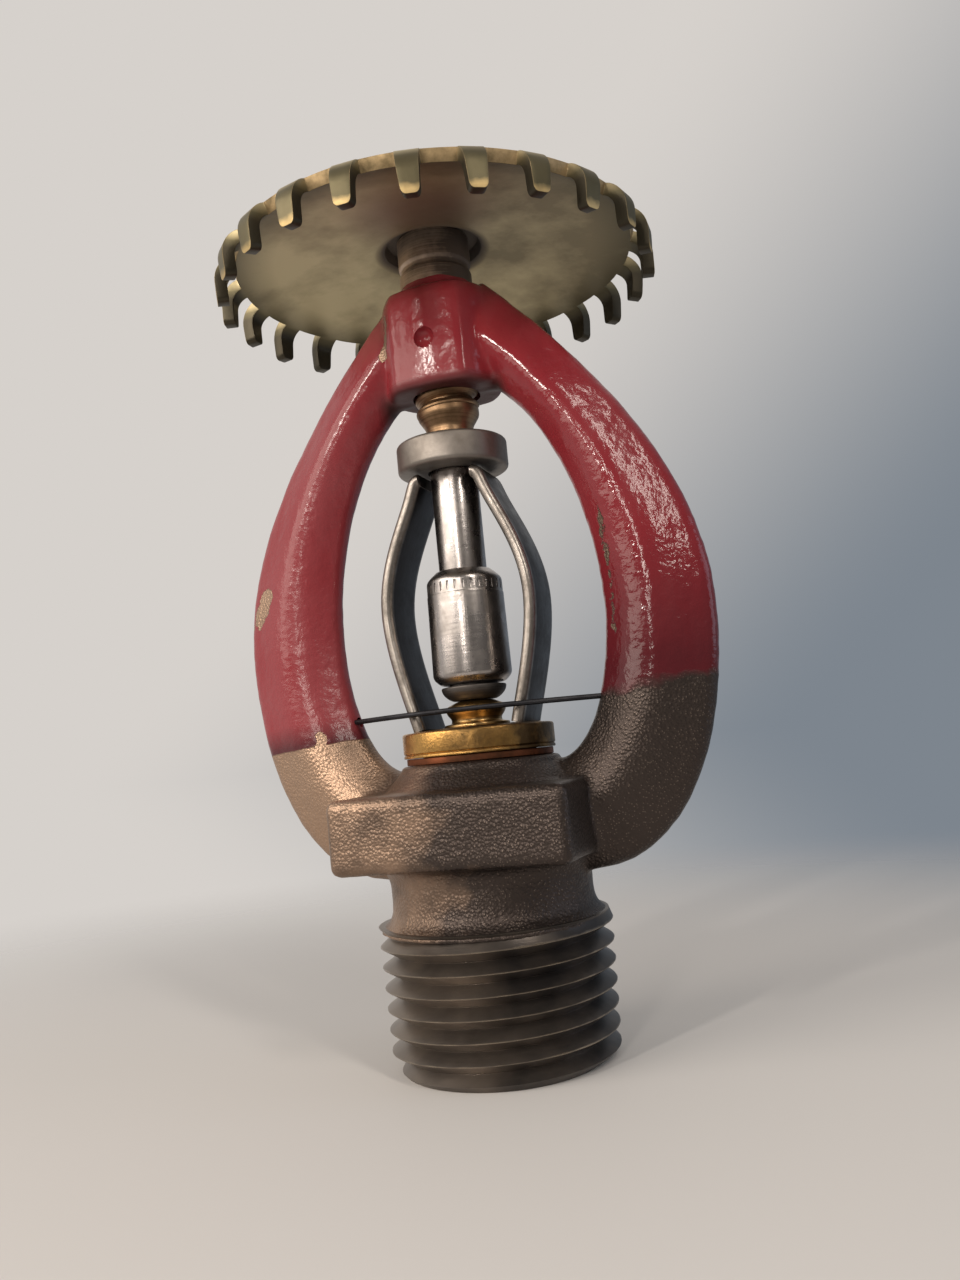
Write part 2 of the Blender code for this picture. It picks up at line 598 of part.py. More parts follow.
def cap(parts, material):
    """Closing cap: a disc on the gasket with a plug that centres it in the orifice."""
    profile = [(0, CAP_TOP_Z), (CAP_R - 0.3 * MM, CAP_TOP_Z), (CAP_R, CAP_TOP_Z - 0.3 * MM),
               (CAP_R, CAP_Z), (CAP_PLUG_R, CAP_Z), (CAP_PLUG_R, CAP_Z - CAP_PLUG_DEPTH * 0.6),
               (CAP_PLUG_R - 0.6 * MM, CAP_Z - CAP_PLUG_DEPTH), (0, CAP_Z - CAP_PLUG_DEPTH)]
    return turned("cap", profile, parts, material)


def gasket(parts, material):
    outer = CAP_R - 0.1 * MM
    inner = outer - GASKET_W
    profile = [(outer, GASKET_Z + GASKET_T), (outer, GASKET_Z),
               (inner, GASKET_Z), (inner, GASKET_Z + GASKET_T)]
    return turned("gasket", profile, parts, material)


def lever_path():
    """Centre line of the right lever in XZ, from its foot on the cap to its tab under the cup."""
    foot = (LEVER_FOOT_X, CAP_TOP_Z + SEAT_GAP + 0.15 * MM)
    bow = (LEVER_BOW_X, LEVER_BOW_Z)
    tab_z = CUP_Z - SEAT_GAP - LEVER_T / 2
    shoulder = (LEVER_TAB_X, tab_z - LEVER_TAB_T)
    rise = shoulder[1] - bow[1]
    fall = bow[1] - foot[1]
    path = [bezier(foot, (foot[0] + 0.75 * MM, foot[1] + fall * 0.26),
                   (bow[0], bow[1] - fall * 0.34), bow, k / LEVER_STATIONS)
            for k in range(LEVER_STATIONS)]
    path += [bezier(bow, (bow[0], bow[1] + rise * 0.42),
                    (shoulder[0] + 0.9 * MM, shoulder[1] - rise * 0.24), shoulder, k / LEVER_STATIONS)
             for k in range(LEVER_STATIONS + 1)]
    tab_end = PLUNGER_R + SEAT_GAP + 0.15 * MM
    path += [(LEVER_TAB_X - 0.25 * MM, tab_z - 0.3 * LEVER_TAB_T), (tab_end + 0.4 * MM, tab_z),
             (tab_end, tab_z)]
    return path


def lever(name, side, parts, material):
    """Bowed steel strip, bent up from its centre line and thickened."""
    bm = bmesh.new()
    half = LEVER_W / 2
    rows = [(bm.verts.new((side * x, -half, z)), bm.verts.new((side * x, half, z)))
            for x, z in lever_path()]
    for first, second in zip(rows, rows[1:]):
        bm.faces.new((first[0], first[1], second[1], second[0]))
    bmesh.ops.recalc_face_normals(bm, faces=bm.faces)
    made = object_from(name, bm, parts, material)
    strip = made.modifiers.new("strip", "SOLIDIFY")
    strip.thickness = LEVER_T
    strip.offset = 0.0
    strip.use_even_offset = True
    return made


def ejector_wire(parts, material):
    """Spring wire bowed round the levers, its ends held in the arms."""
    reach = wire_reach()
    curve = bpy.data.curves.new("ejector_wire", "CURVE")
    curve.dimensions = "3D"
    curve.bevel_depth = WIRE_R
    curve.bevel_resolution = 2
    curve.use_fill_caps = True
    spline = curve.splines.new("POLY")
    spline.points.add(WIRE_SEGMENTS)
    for k, point in enumerate(spline.points):
        point.co = (*wire_point(reach * (2 * k / WIRE_SEGMENTS - 1)), 1.0)
    curve.materials.append(material)
    made = bpy.data.objects.new("ejector_wire", curve)
    parts.objects.link(made)
    return made


def main():
    clear_scene()
    parts = new_collection("sprinkler_head")
    tools = new_collection("joins_and_cutters")
    red_bronze = new_material("painted_bronze_casting", (0.46, 0.03, 0.03), 0.35, 0.2)
    deflector_brass = new_material("passivated_brass_sheet", (0.33, 0.26, 0.11), 0.4, 1.0)
    brass = new_material("turned_brass", (0.62, 0.42, 0.16), 0.35, 1.0)
    steel = new_material("polished_steel", (0.6, 0.58, 0.54), 0.18, 1.0)
    dark_steel = new_material("oxidised_steel", (0.12, 0.11, 0.1), 0.45, 1.0)
    aluminium = new_material("dull_aluminium", (0.5, 0.5, 0.49), 0.55, 1.0)
    copper = new_material("soft_copper", (0.4, 0.18, 0.1), 0.5, 1.0)
    solder = new_material("fusible_solder", (0.5, 0.5, 0.52), 0.5, 1.0)
    make_frame(parts, tools, red_bronze)
    deflector(parts, deflector_brass)
    load_screw(parts, tools, brass)
    strut_cup(parts, aluminium)
    plunger(parts, steel)
    solder_cylinder(parts, steel)
    solder_pellet(parts, solder)
    cylinder_plug(parts, dark_steel)
    pivot(parts, brass)
    cap(parts, brass)
    gasket(parts, copper)
    lever("left_lever", -1, parts, steel)
    lever("right_lever", 1, parts, steel)
    ejector_wire(parts, dark_steel)


main()
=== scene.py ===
"""Upright fire sprinkler head: the finished pieces of the visual model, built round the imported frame.

The classes work in millimetres, in the frame of the CAD: +Z runs up the waterway to the
deflector and the two arms lie in the XZ plane. fit_piece() turns a finished mesh to metres.
"""
import json
import logging
import math
import random
from collections.abc import Sequence
from dataclasses import dataclass
from enum import Enum

import bmesh
import bpy
import numpy as np
from mathutils import Matrix, Vector, noise


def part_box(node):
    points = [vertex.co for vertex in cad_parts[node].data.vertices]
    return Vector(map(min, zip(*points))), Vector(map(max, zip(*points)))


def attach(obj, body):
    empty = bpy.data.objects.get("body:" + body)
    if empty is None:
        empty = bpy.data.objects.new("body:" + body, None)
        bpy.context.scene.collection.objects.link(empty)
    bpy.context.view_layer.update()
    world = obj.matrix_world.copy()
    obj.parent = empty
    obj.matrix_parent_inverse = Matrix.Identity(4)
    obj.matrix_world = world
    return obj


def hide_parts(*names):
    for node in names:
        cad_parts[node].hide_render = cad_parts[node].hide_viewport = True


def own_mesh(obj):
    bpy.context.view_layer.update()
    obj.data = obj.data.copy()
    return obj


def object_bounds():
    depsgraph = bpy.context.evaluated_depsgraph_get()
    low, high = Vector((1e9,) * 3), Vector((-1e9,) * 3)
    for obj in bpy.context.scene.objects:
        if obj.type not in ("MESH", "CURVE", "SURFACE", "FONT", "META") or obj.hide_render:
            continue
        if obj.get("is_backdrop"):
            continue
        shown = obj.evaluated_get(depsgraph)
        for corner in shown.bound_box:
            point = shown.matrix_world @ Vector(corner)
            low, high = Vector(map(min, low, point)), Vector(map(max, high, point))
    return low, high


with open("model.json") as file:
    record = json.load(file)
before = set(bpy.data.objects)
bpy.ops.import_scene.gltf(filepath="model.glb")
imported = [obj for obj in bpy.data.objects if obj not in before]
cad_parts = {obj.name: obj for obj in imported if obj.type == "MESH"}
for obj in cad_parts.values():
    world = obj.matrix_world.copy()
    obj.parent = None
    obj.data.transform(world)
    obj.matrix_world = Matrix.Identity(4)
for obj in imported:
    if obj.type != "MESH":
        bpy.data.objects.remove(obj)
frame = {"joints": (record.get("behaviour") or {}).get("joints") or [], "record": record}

CAD_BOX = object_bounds()
LOG = logging.getLogger("sprinkler_head")
MM = 0.001
FULL_TURN = 2 * math.pi
CLEARANCE = 0.2  # left by the CAD between pieces that rest on each other; closed to TOUCH here
TOUCH = 0.02
MERGE = 1e-4  # points closer than this, in millimetres, are one point
CUT_MERGE = 2e-3  # the same for the slivers that a cut leaves
STEPS = 96  # facets round a turned piece
ROUNDING = 4  # facets of a rounded corner
AXIS = (0, 0, 1)
ORIGIN = (0, 0, 0)
SIDES = (-1, 1)  # left and right

Mesh = bmesh.types.BMesh
Vert = bmesh.types.BMVert
Piece = bpy.types.Object
Material = bpy.types.Material
Socket = bpy.types.NodeSocket
Corner = tuple[float, float, float]  # radius, height, rounding of the corner
Point2 = tuple[float, float]
Point3 = tuple[float, float, float]


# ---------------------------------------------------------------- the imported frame

def cad_box(node: str) -> tuple[Vector, Vector]:
    """Return the lowest and highest corner of a CAD node, in millimetres."""
    low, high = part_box(node)
    return low / MM, high / MM


def body_of(node: str) -> str:
    """Return the name of the body that a CAD node rides on."""
    bodies = frame["record"]["behaviour"]["bodies"]
    return next(name for name, nodes in bodies.items() if node in nodes)


def slot_of(node: str) -> str:
    """Return the record's material slot of a CAD node."""
    return next(part["material_slot"] for part in frame["record"]["subparts"] if part["node"] == node)


def joint_range(name: str) -> float:
    """Return the length of a slide joint's range, in millimetres."""
    low, high = next(joint for joint in frame["joints"] if joint["name"] == name)["range_m"]
    return (high - low) / MM


# ---------------------------------------------------------------- mesh helpers

def new_object(name: str, data: bpy.types.ID) -> Piece:
    """Make an object and link it to the scene.

    Args:
        name: Name of the object.
        data: Its mesh, lamp or camera.

    Returns:
        The new object, at the origin.
    """
    made = bpy.data.objects.new(name, data)
    bpy.context.scene.collection.objects.link(made)
    return made


def mesh_object(name: str, bm: Mesh) -> Piece:
    """Make a linked object of a bmesh, which is freed.

    Args:
        name: Name of the object and its mesh.
        bm: The finished shape.

    Returns:
        The new object, at the origin.
    """
    mesh = bpy.data.meshes.new(name)
    bm.to_mesh(mesh)
    bm.free()
    return new_object(name, mesh)


def add_modifier(made: Piece, kind: str, **settings: object) -> None:
    """Give an object one more modifier.

    Args:
        made: The object.
        kind: Type of the modifier.
        settings: Its settings.
    """
    modifier = made.modifiers.new(kind.lower(), kind)
    for key, value in settings.items():
        setattr(modifier, key, value)


def apply_modifiers(made: Piece) -> None:
    """Bake an object's modifiers into its mesh.

    Args:
        made: The object.
    """
    graph = bpy.context.evaluated_depsgraph_get()
    baked = bpy.data.meshes.new_from_object(made.evaluated_get(graph))
    made.modifiers.clear()
    old, made.data = made.data, baked
    bpy.data.meshes.remove(old)


def boolean(made: Piece, bm: Mesh, operation: str) -> None:
    """Join or cut an object with a solid, and clean up the cut.

    Args:
        made: The object to change.
        bm: The solid that joins or cuts it, which is freed.
        operation: UNION or DIFFERENCE.
    """
    tool = mesh_object("tool", bm)
    add_modifier(made, "BOOLEAN", object=tool, operation=operation, solver="EXACT")
    apply_modifiers(made)
    bpy.data.objects.remove(tool)
    cut = bmesh.new()
    cut.from_mesh(made.data)
    bmesh.ops.remove_doubles(cut, verts=cut.verts, dist=CUT_MERGE)
    bmesh.ops.dissolve_degenerate(cut, edges=cut.edges, dist=CUT_MERGE)
    bmesh.ops.triangulate(cut, faces=[face for face in cut.faces if len(face.verts) > 4])
    cut.to_mesh(made.data)
    cut.free()


def round_off(bm: Mesh, geom: Sequence[object], radius: float, affect: str) -> None:
    """Round these corners (VERTICES) or edges (EDGES) of a bmesh."""
    bmesh.ops.bevel(bm, geom=geom, offset=radius, offset_type="OFFSET", segments=ROUNDING,
                    profile=0.5, affect=affect, material=-1)


def turned(profile: Sequence[Corner], steps: int = STEPS) -> Mesh:
    """Spin a profile with rounded corners into a closed solid about Z.

    Args:
        profile: Corners of the profile, which starts and ends on the axis or is closed as a ring.
        steps: Facets round the axis.

    Returns:
        The solid.
    """
    bm = bmesh.new()
    verts = [bm.verts.new((radius, 0, height)) for radius, height, _ in profile]
    for first, second in zip(verts, verts[1:]):
        bm.edges.new((first, second))
    if profile[0][0] > 0:
        bm.edges.new((verts[-1], verts[0]))
    for vert, (_, _, rounding) in zip(verts, profile):
        if rounding:
            round_off(bm, [vert], rounding, "VERTICES")
    bmesh.ops.spin(bm, geom=bm.verts[:] + bm.edges[:], cent=ORIGIN, axis=AXIS,
                   angle=FULL_TURN, steps=steps, use_merge=True, use_duplicate=False)
    bmesh.ops.remove_doubles(bm, verts=bm.verts, dist=MERGE)
    bmesh.ops.recalc_face_normals(bm, faces=bm.faces)
    return bm


def loft(rings: Sequence[Sequence[Vector]]) -> Mesh:
    """Extrude a face through a row of rings into a closed solid.

    Args:
        rings: Rings with the same number of points, from one end to the other.

    Returns:
        The solid.
    """
    bm = bmesh.new()
    face = bm.faces.new([bm.verts.new(point) for point in rings[0]])
    for count, ring in enumerate(rings[1:]):
        grown = bmesh.ops.extrude_face_region(bm, geom=[face])["geom"]
        if count:
            bmesh.ops.delete(bm, geom=[face], context="FACES_ONLY")
        face = next(item for item in grown if isinstance(item, bmesh.types.BMFace))
        for vert, point in zip(face.verts, ring):
            vert.co = point
    bmesh.ops.recalc_face_normals(bm, faces=bm.faces)
    return bm


def helix(profile: Sequence[Point2], core: float, depth: float, pitch: float, ends: Point2,
          steps: int) -> Mesh:
    """Spin one thread profile along Z into a closed rod with a right-hand thread.

    Args:
        profile: Shares of the pitch and of the depth, for the points of one pitch.
        core: Radius at the bottom of the thread.
        depth: Depth of the thread.
        pitch: Height gained in one turn.
        ends: Heights of the lower and the upper end.
        steps: Facets in one turn.

    Returns:
        The rod, closed at both ends.
    """
    bm = bmesh.new()
    bottom, top = ends
    turns = math.ceil((top - bottom) / pitch) + 4
    points = [bm.verts.new((core + depth * rise, 0, bottom + (turn - 2) * pitch + pitch * share))
              for turn in range(turns) for share, rise in profile]
    edges = [bm.edges.new(pair) for pair in zip(points, points[1:])]
    bmesh.ops.spin(bm, geom=points + edges, cent=ORIGIN, axis=AXIS, dvec=(0, 0, pitch / steps),
                   angle=FULL_TURN, steps=steps, use_duplicate=False)
    bmesh.ops.remove_doubles(bm, verts=bm.verts, dist=MERGE)
    for height, way in zip(ends, SIDES):
        bmesh.ops.bisect_plane(bm, geom=bm.verts[:] + bm.edges[:] + bm.faces[:], dist=MERGE,
                               plane_co=(0, 0, height), plane_no=(0, 0, way), clear_outer=True)
        rim = [edge for edge in bm.edges if edge.is_boundary
               and all(abs(vert.co.z - height) < MERGE for vert in edge.verts)]
        bmesh.ops.contextual_create(bm, geom=rim)
    bmesh.ops.recalc_face_normals(bm, faces=bm.faces)
    return bm


def block(low: Sequence[float], high: Sequence[float], edge: float = 0.0) -> Mesh:
    """Make a box between two corners, with its edges rounded.

    Args:
        low: Lowest corner.
        high: Highest corner.
        edge: Radius of the edges, or 0 for sharp ones.

    Returns:
        The box.
    """
    bm = bmesh.new()
    size, centre = Vector(high) - Vector(low), (Vector(high) + Vector(low)) / 2
    bmesh.ops.create_cube(bm, size=1, matrix=Matrix.Translation(centre) @ Matrix.Diagonal((*size, 1)))
    if edge:
        round_off(bm, bm.edges[:], edge, "EDGES")
    return bm


def joined(parts: Sequence[Mesh]) -> Mesh:
    """Gather several solids in one.

    Args:
        parts: The solids, which are freed.

    Returns:
        One bmesh with all of them.
    """
    mesh = bpy.data.meshes.new("gather")
    whole = bmesh.new()
    for part in parts:
        part.to_mesh(mesh)
        part.free()
        whole.from_mesh(mesh)
    bpy.data.meshes.remove(mesh)
    return whole


def cubic(controls: Sequence[Point2], t: float) -> Vector:
    """Find a point on a cubic curve in the XZ plane.

    Args:
        controls: Its four control points.
        t: How far along, from 0 to 1.

    Returns:
        The point.
    """
    s = 1 - t
    weights = (s ** 3, 3 * s * s * t, 3 * s * t * t, t ** 3)
    return Vector([sum(w * c[axis] for w, c in zip(weights, controls)) for axis in (0, 1)])


def fit_piece(made: Piece, materials: Sequence[Material], node: str, crease: float = 35) -> Piece:
    """Bring a finished mesh to metres, dress it and set it on the body of the node it replaces.

    Args:
        made: The finished object, in millimetres.
        materials: Its materials.
        node: The CAD node that it stands for, which gives its body.
        crease: Angle in degrees past which an edge stays sharp.

    Returns:
        The object.
    """
    made.data.transform(Matrix.Scale(MM, 4))
    made.data.shade_smooth()
    made.data.set_sharp_from_angle(angle=math.radians(crease))
    made.data.materials.clear()
    for material in materials:
        made.data.materials.append(material)
    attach(made, body_of(node))
    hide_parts(node)
    slot_of(node)
    LOG.info("%s: %d faces, rides on %s", made.name, len(made.data.polygons), body_of(node))
    return made


def fit_turned(name: str, node: str, finish: Material, profile: Sequence[Corner],
               steps: int = STEPS) -> Piece:
    """Turn a piece from its profile and set it in place of its CAD node."""
    return fit_piece(mesh_object(name, turned(profile, steps)), [finish], node)


# ---------------------------------------------------------------- finishes

def srgb(code: str) -> tuple[float, ...]:
    """Turn a colour to linear.

    Args:
        code: The colour as sRGB hex.

    Returns:
        Its linear values, with full alpha.
    """
    values = [int(code[k:k + 2], 16) / 255 for k in (1, 3, 5)]
    linear = [v / 12.92 if v <= 0.04045 else ((v + 0.055) / 1.055) ** 2.4 for v in values]
    return (*linear, 1.0)


def per_mm(size: float) -> float:
    """Return the texture scale that gives a pattern of this size, in millimetres."""
    return 1 / (size * MM)


def feed(socket: Socket, value: object) -> None:
    """Link or set an input of a node.

    Args:
        socket: The input.
        value: An output, a number, a vector, a hex colour, or None to leave the input as it is.
    """
    if isinstance(value, Socket):
        socket.id_data.links.new(value, socket)
    elif value is not None:
        socket.default_value = srgb(value) if isinstance(value, str) else value


class Recipe:
    """Node tree of a material or of the world, under construction."""

    def __init__(self, owner: Material | bpy.types.World, place: str = "Object") -> None:
        """Start on a new material or world.

        Args:
            owner: The material or world.
            place: Coordinates that its patterns read.
        """
        owner.use_nodes = True
        self.owner, self.tree = owner, owner.node_tree
        self.place = self.add("TexCoord", out=place)

    def add(self, kind: str, *values: object, out: str = "", **settings: object) -> Socket:
        """Add a node with its settings, values and links.

        Args:
            kind: Type of the node, without its ShaderNode prefix.
            values: What feed() gives to each input in use, in the node's own order.
            out: Name of the output wanted, or nothing for the first one in use.
            settings: Properties of the node.

        Returns:
            The output.
        """
        made = self.tree.nodes.new("ShaderNode" + kind)
        for key, value in settings.items():
            setattr(made, key, value)
        for socket, value in zip([one for one in made.inputs if one.enabled], values):
            feed(socket, value)
        return made.outputs[out] if out else next(one for one in made.outputs if one.enabled)

    def axes(self) -> Sequence[Socket]:
        """Return the X, Y and Z of a place on the part."""
        return self.add("SeparateXYZ", self.place).node.outputs[:]

    def from_axis(self) -> tuple[Socket, Socket]:
        """Return the way from the part's axis to a place on it, and its length."""
        flat = self.add("VectorMath", self.place, (1.0, 1.0, 0.0), operation="MULTIPLY")
        return flat, self.add("VectorMath", flat, operation="LENGTH")

    def dress(self, **values: object) -> Material:
        """Finish a material.

        Args:
            values: What feed() gives to each input of its shader, named with _ for a space.

        Returns:
            The material.
        """
        for key, value in values.items():
            feed(self.tree.nodes["Principled BSDF"].inputs[key.replace("_", " ")], value)
        return self.owner


@dataclass(frozen=True)
class CastEnamel:
    """Red enamel dipped over sand-cast bronze that has browned in the air.

    The enamel gives a deep glossy red whose highlights break up on the grain beneath; the bare
    bronze below the arms is brown, grainy and sparkles where the grains catch the light, partly
    through painted glints. Painted light pales the enamel on the left; painted shade deepens the
    enamel and browns the bronze on the right.
    """

    red: str = "#84282e"
    faded_red: str = "#8a3b3f"
    # deep red of thin enamel, also used as painted shade on the +X side
    deep_red_and_shade: str = "#40171c"
    bronze: str = "#a98d77"
    # browned bronze, also the painted shade on the +X side
    brown: str = "#433b37"
    # painted shade under the hub and in the punch mark
    painted_shade: str = "#33211f"
    # grains rubbed lighter, partly painted glints
    rubbed_grain_and_glint: str = "#a89688"
    edge_height: float = 30.8  # of the enamel, at the axis
    edge_slope: float = 0.078
    edge_side: float = 12.0  # how far out the arms cross the edge
    edge_wander: Point2 = (0.5, 2.4)  # on the left and on the right arm
    edge_soft: Point2 = (0.12, 0.9)  # width over which the film thins out, left and right
    arm_side: float = 22.0
    # sizes of the patterns, in millimetres
    edge_rag: float = 2.2
    flake: float = 0.9
    cloud: float = 9.0
    streak: float = 1.1
    blotch: float = 6.0
    grain: float = 0.26  # sand grains; the finest real ones are drawn no smaller, to show
    peel: float = 0.6  # orange peel
    relief: float = 0.06
    hub_bottom: float = 61.6
    hub_radius: float = 5.5
    punch: Point3 = (0.0, -4.9, 66.1)

    def build(self) -> Material:
        """Mix the enamel, the bronze under it and the painted shade on both.

        Returns:
            The material.
        """
        r = Recipe(bpy.data.materials.new("red_enamel_over_sand_cast_bronze"))
        x, _, z = r.axes()
        edge, side = self.edge_side * MM, self.arm_side * MM

        # film: where the enamel is, down to its ragged edge and off the worn patches
        above = r.add("Math", x, -self.edge_slope, z, operation="MULTIPLY_ADD")
        above = r.add("Math", above, self.edge_height * MM, operation="SUBTRACT")
        ragged = r.add("TexNoise", r.place, per_mm(self.edge_rag), 4.0)
        reach = r.add("MapRange", x, -edge, edge, *(width * MM for width in self.edge_wander))
        ragged = r.add("Math", ragged, 0.5, operation="SUBTRACT")
        above = r.add("Math", ragged, reach, above, operation="MULTIPLY_ADD")
        soft = r.add("MapRange", x, -edge, edge, *(width * MM for width in self.edge_soft))
        share = r.add("Math", above, soft, operation="DIVIDE")
        film = r.add("Math", share, 0.5, operation="ADD", use_clamp=True)
        wear = r.add("Attribute", out="Fac", attribute_name="wear")
        flake = r.add("TexNoise", r.place, per_mm(self.flake), 5.0, 0.65)
        flake = r.add("Math", flake, wear, operation="ADD")
        bare = r.add("MapRange", flake, 0.98, 1.06, interpolation_type="SMOOTHSTEP")
        kept = r.add("Math", 1.0, bare, operation="SUBTRACT")
        film = r.add("Math", film, kept, operation="MULTIPLY")

        # enamel: faded outer skin in soft patches over the deep red
        cloud = r.add("TexNoise", r.place, per_mm(self.cloud), 3.0)
        streaks = r.add("Mapping", r.place, None, None, (1.0, 1.0, 0.07))
        streaks = r.add("TexNoise", streaks, per_mm(self.streak), 4.0)
        faded = r.add("Math", streaks, 0.4, cloud, operation="MULTIPLY_ADD")
        # painted light: the fade grows towards -X, so the left arm is paler
        faded = r.add("Math", faded, r.add("MapRange", x, -side, side, 0.28, -0.12), operation="ADD")
        faded = r.add("MapRange", faded, 0.6, 1.05)
        red = r.add("Mix", faded, self.red, self.faded_red, data_type="RGBA")
        # deep red where the film thins near its edge, and towards +X; on the right arm this darkening is
        # painted shade
        low = r.add("MapRange", share, 20.0, 2.0, 0.0, 0.85)
        right = r.add("MapRange", x, 4 * MM, side, 0.0, 0.3)
        low = r.add("Math", low, right, operation="MAXIMUM")
        red = r.add("Mix", low, red, self.deep_red_and_shade, data_type="RGBA")

        # bronze: browned skin, browner towards +X as painted shade, lighter where the grains stand proud,
        # partly as painted glints
        stain = r.add("TexNoise", r.place, per_mm(self.blotch), 5.0)
        # painted shade: the bronze browner towards +X, lighter towards -X
        age = r.add("MapRange", x, -13 * MM, 6 * MM, -0.24, 0.45)
        stain = r.add("Math", stain, age, operation="ADD")
        stain = r.add("MapRange", stain, 0.3, 0.72)
        fresh = r.add("MapRange", bare, 0.0, 1.0, 1.0, 0.6)
        stain = r.add("Math", stain, fresh, operation="MULTIPLY")
        metal = r.add("Mix", stain, self.bronze, self.brown, data_type="RGBA")
        grains = r.add("TexVoronoi", r.place, per_mm(self.grain))
        grains = r.add("MapRange", grains, 0.9, 0.0, 0.0, 0.8)
        # proud grains lighter, partly real rubbing and partly painted glints
        proud_and_glint = r.add("MapRange", grains, 0.55, 0.8, 0.0, 0.5)
        metal = r.add("Mix", proud_and_glint, metal, self.rubbed_grain_and_glint, data_type="RGBA")
        colour = r.add("Mix", film, metal, red, data_type="RGBA")

        # painted shade: darker under the hub round the screw, and in the punch mark
        _, radius = r.from_axis()
        near = r.add("MapRange", radius, (self.hub_radius + 1.4) * MM, (self.hub_radius + 0.2) * MM)
        under = r.add("MapRange", z, (self.hub_bottom + 1.1) * MM, (self.hub_bottom - 0.1) * MM)
        painted_shade = r.add("Math", near, under, operation="MULTIPLY")
        above = r.add("MapRange", z, (self.hub_bottom - 3) * MM, (self.hub_bottom - 2) * MM, 0.0, 0.9)
        painted_shade = r.add("Math", painted_shade, above, operation="MULTIPLY")
        punch = r.add("VectorMath", r.place, Vector(self.punch) * MM, operation="DISTANCE")
        punch = r.add("MapRange", punch, 1.0 * MM, 0.8 * MM, 0.0, 0.55)
        painted_shade = r.add("Math", painted_shade, punch, operation="MAXIMUM")
        colour = r.add("Mix", painted_shade, colour, self.painted_shade, data_type="RGBA")

        metallic = r.add("MapRange", film, 0.0, 1.0, 0.85, 0.0)
        gloss = r.add("MapRange", faded, 0.0, 1.0, 0.14, 0.26)
        roughness = r.add("Mix", film, 0.42, gloss, data_type="FLOAT")
        roughness = r.add("Math", painted_shade, 0.4, roughness, operation="MULTIPLY_ADD")
        peel = r.add("TexNoise", r.place, per_mm(self.peel), 2.0)
        smooth = r.add("MapRange", z, 63 * MM, 51 * MM, 0.5, 1.0)
        peel = r.add("Math", peel, smooth, operation="MULTIPLY")
        relief = r.add("Mix", film, grains, peel, data_type="FLOAT")
        relief = r.add("Math", film, 0.8, relief, operation="MULTIPLY_ADD")
        normal = r.add("Bump", 1.0, self.relief * MM, None, relief)
        return r.dress(Base_Color=colour, Metallic=metallic, Roughness=roughness, Normal=normal,
                       Specular_IOR_Level=0.38)


@dataclass(frozen=True)
class TurnedMetal:
    """Metal turned on a lathe: fine rings left by the tool, a stained or oxidised skin, painted shade at
    +X.
    """

    name: str
    colour: str
    stain: str
    roughness: float
    ring: float = 0.16  # spacing of the tool marks; the real ones are finer and wouldn't show
    ring_depth: float = 0.006
    grain: float = 0.5
    grain_depth: float = 0.0
    stain_size: float = 4.0
    stain_share: float = 0.5
    streak: float = 0.0  # how far the rings tint the colour
    metallic: float = 1.0
    age: float = 0.0  # how much painted shade darkens the side at +X
    side_shading_reach: float = 7.0
    dulling: float = 0.14  # how much rougher the stain is

    def build(self) -> Material:
        """Stain the metal in clouds and streaks, paint shade at +X, and score it with the tool's rings.

        Returns:
            The material.
        """
        r = Recipe(bpy.data.materials.new(self.name))
        x, _, z = r.axes()
        lathe = r.add("CombineXYZ", r.from_axis()[1], None, z)
        rings = r.add("TexNoise", lathe, per_mm(self.ring), 2.0)
        cloud = r.add("TexNoise", r.place, per_mm(self.stain_size), 5.0, 0.6)
        tint = r.add("Math", rings, self.streak, cloud, operation="MULTIPLY_ADD")
        # painted shade: darker towards +X, lighter towards -X
        age = r.add("MapRange", x, -self.side_shading_reach * MM, self.side_shading_reach * MM, -self.age, self.age)
        tint = r.add("Math", tint, age, operation="ADD")
        middle = 0.5 + 0.5 * self.streak + 0.25 * (0.5 - self.stain_share)
        tint = r.add("MapRange", tint, middle - 0.15, middle + 0.15)
        colour = r.add("Mix", tint, self.colour, self.stain, data_type="RGBA")
        dull = min(self.roughness + self.dulling, 1.0)
        roughness = r.add("MapRange", tint, 0.0, 1.0, self.roughness, dull)
        normal = r.add("Bump", None, self.ring_depth * MM, None, rings)
        if self.grain_depth:
            grains = r.add("TexNoise", r.place, per_mm(self.grain), 3.0, 0.7)
            normal = r.add("Bump", None, self.grain_depth * MM, None, grains, normal)
        return r.dress(Base_Color=colour, Metallic=self.metallic, Roughness=roughness, Normal=normal)


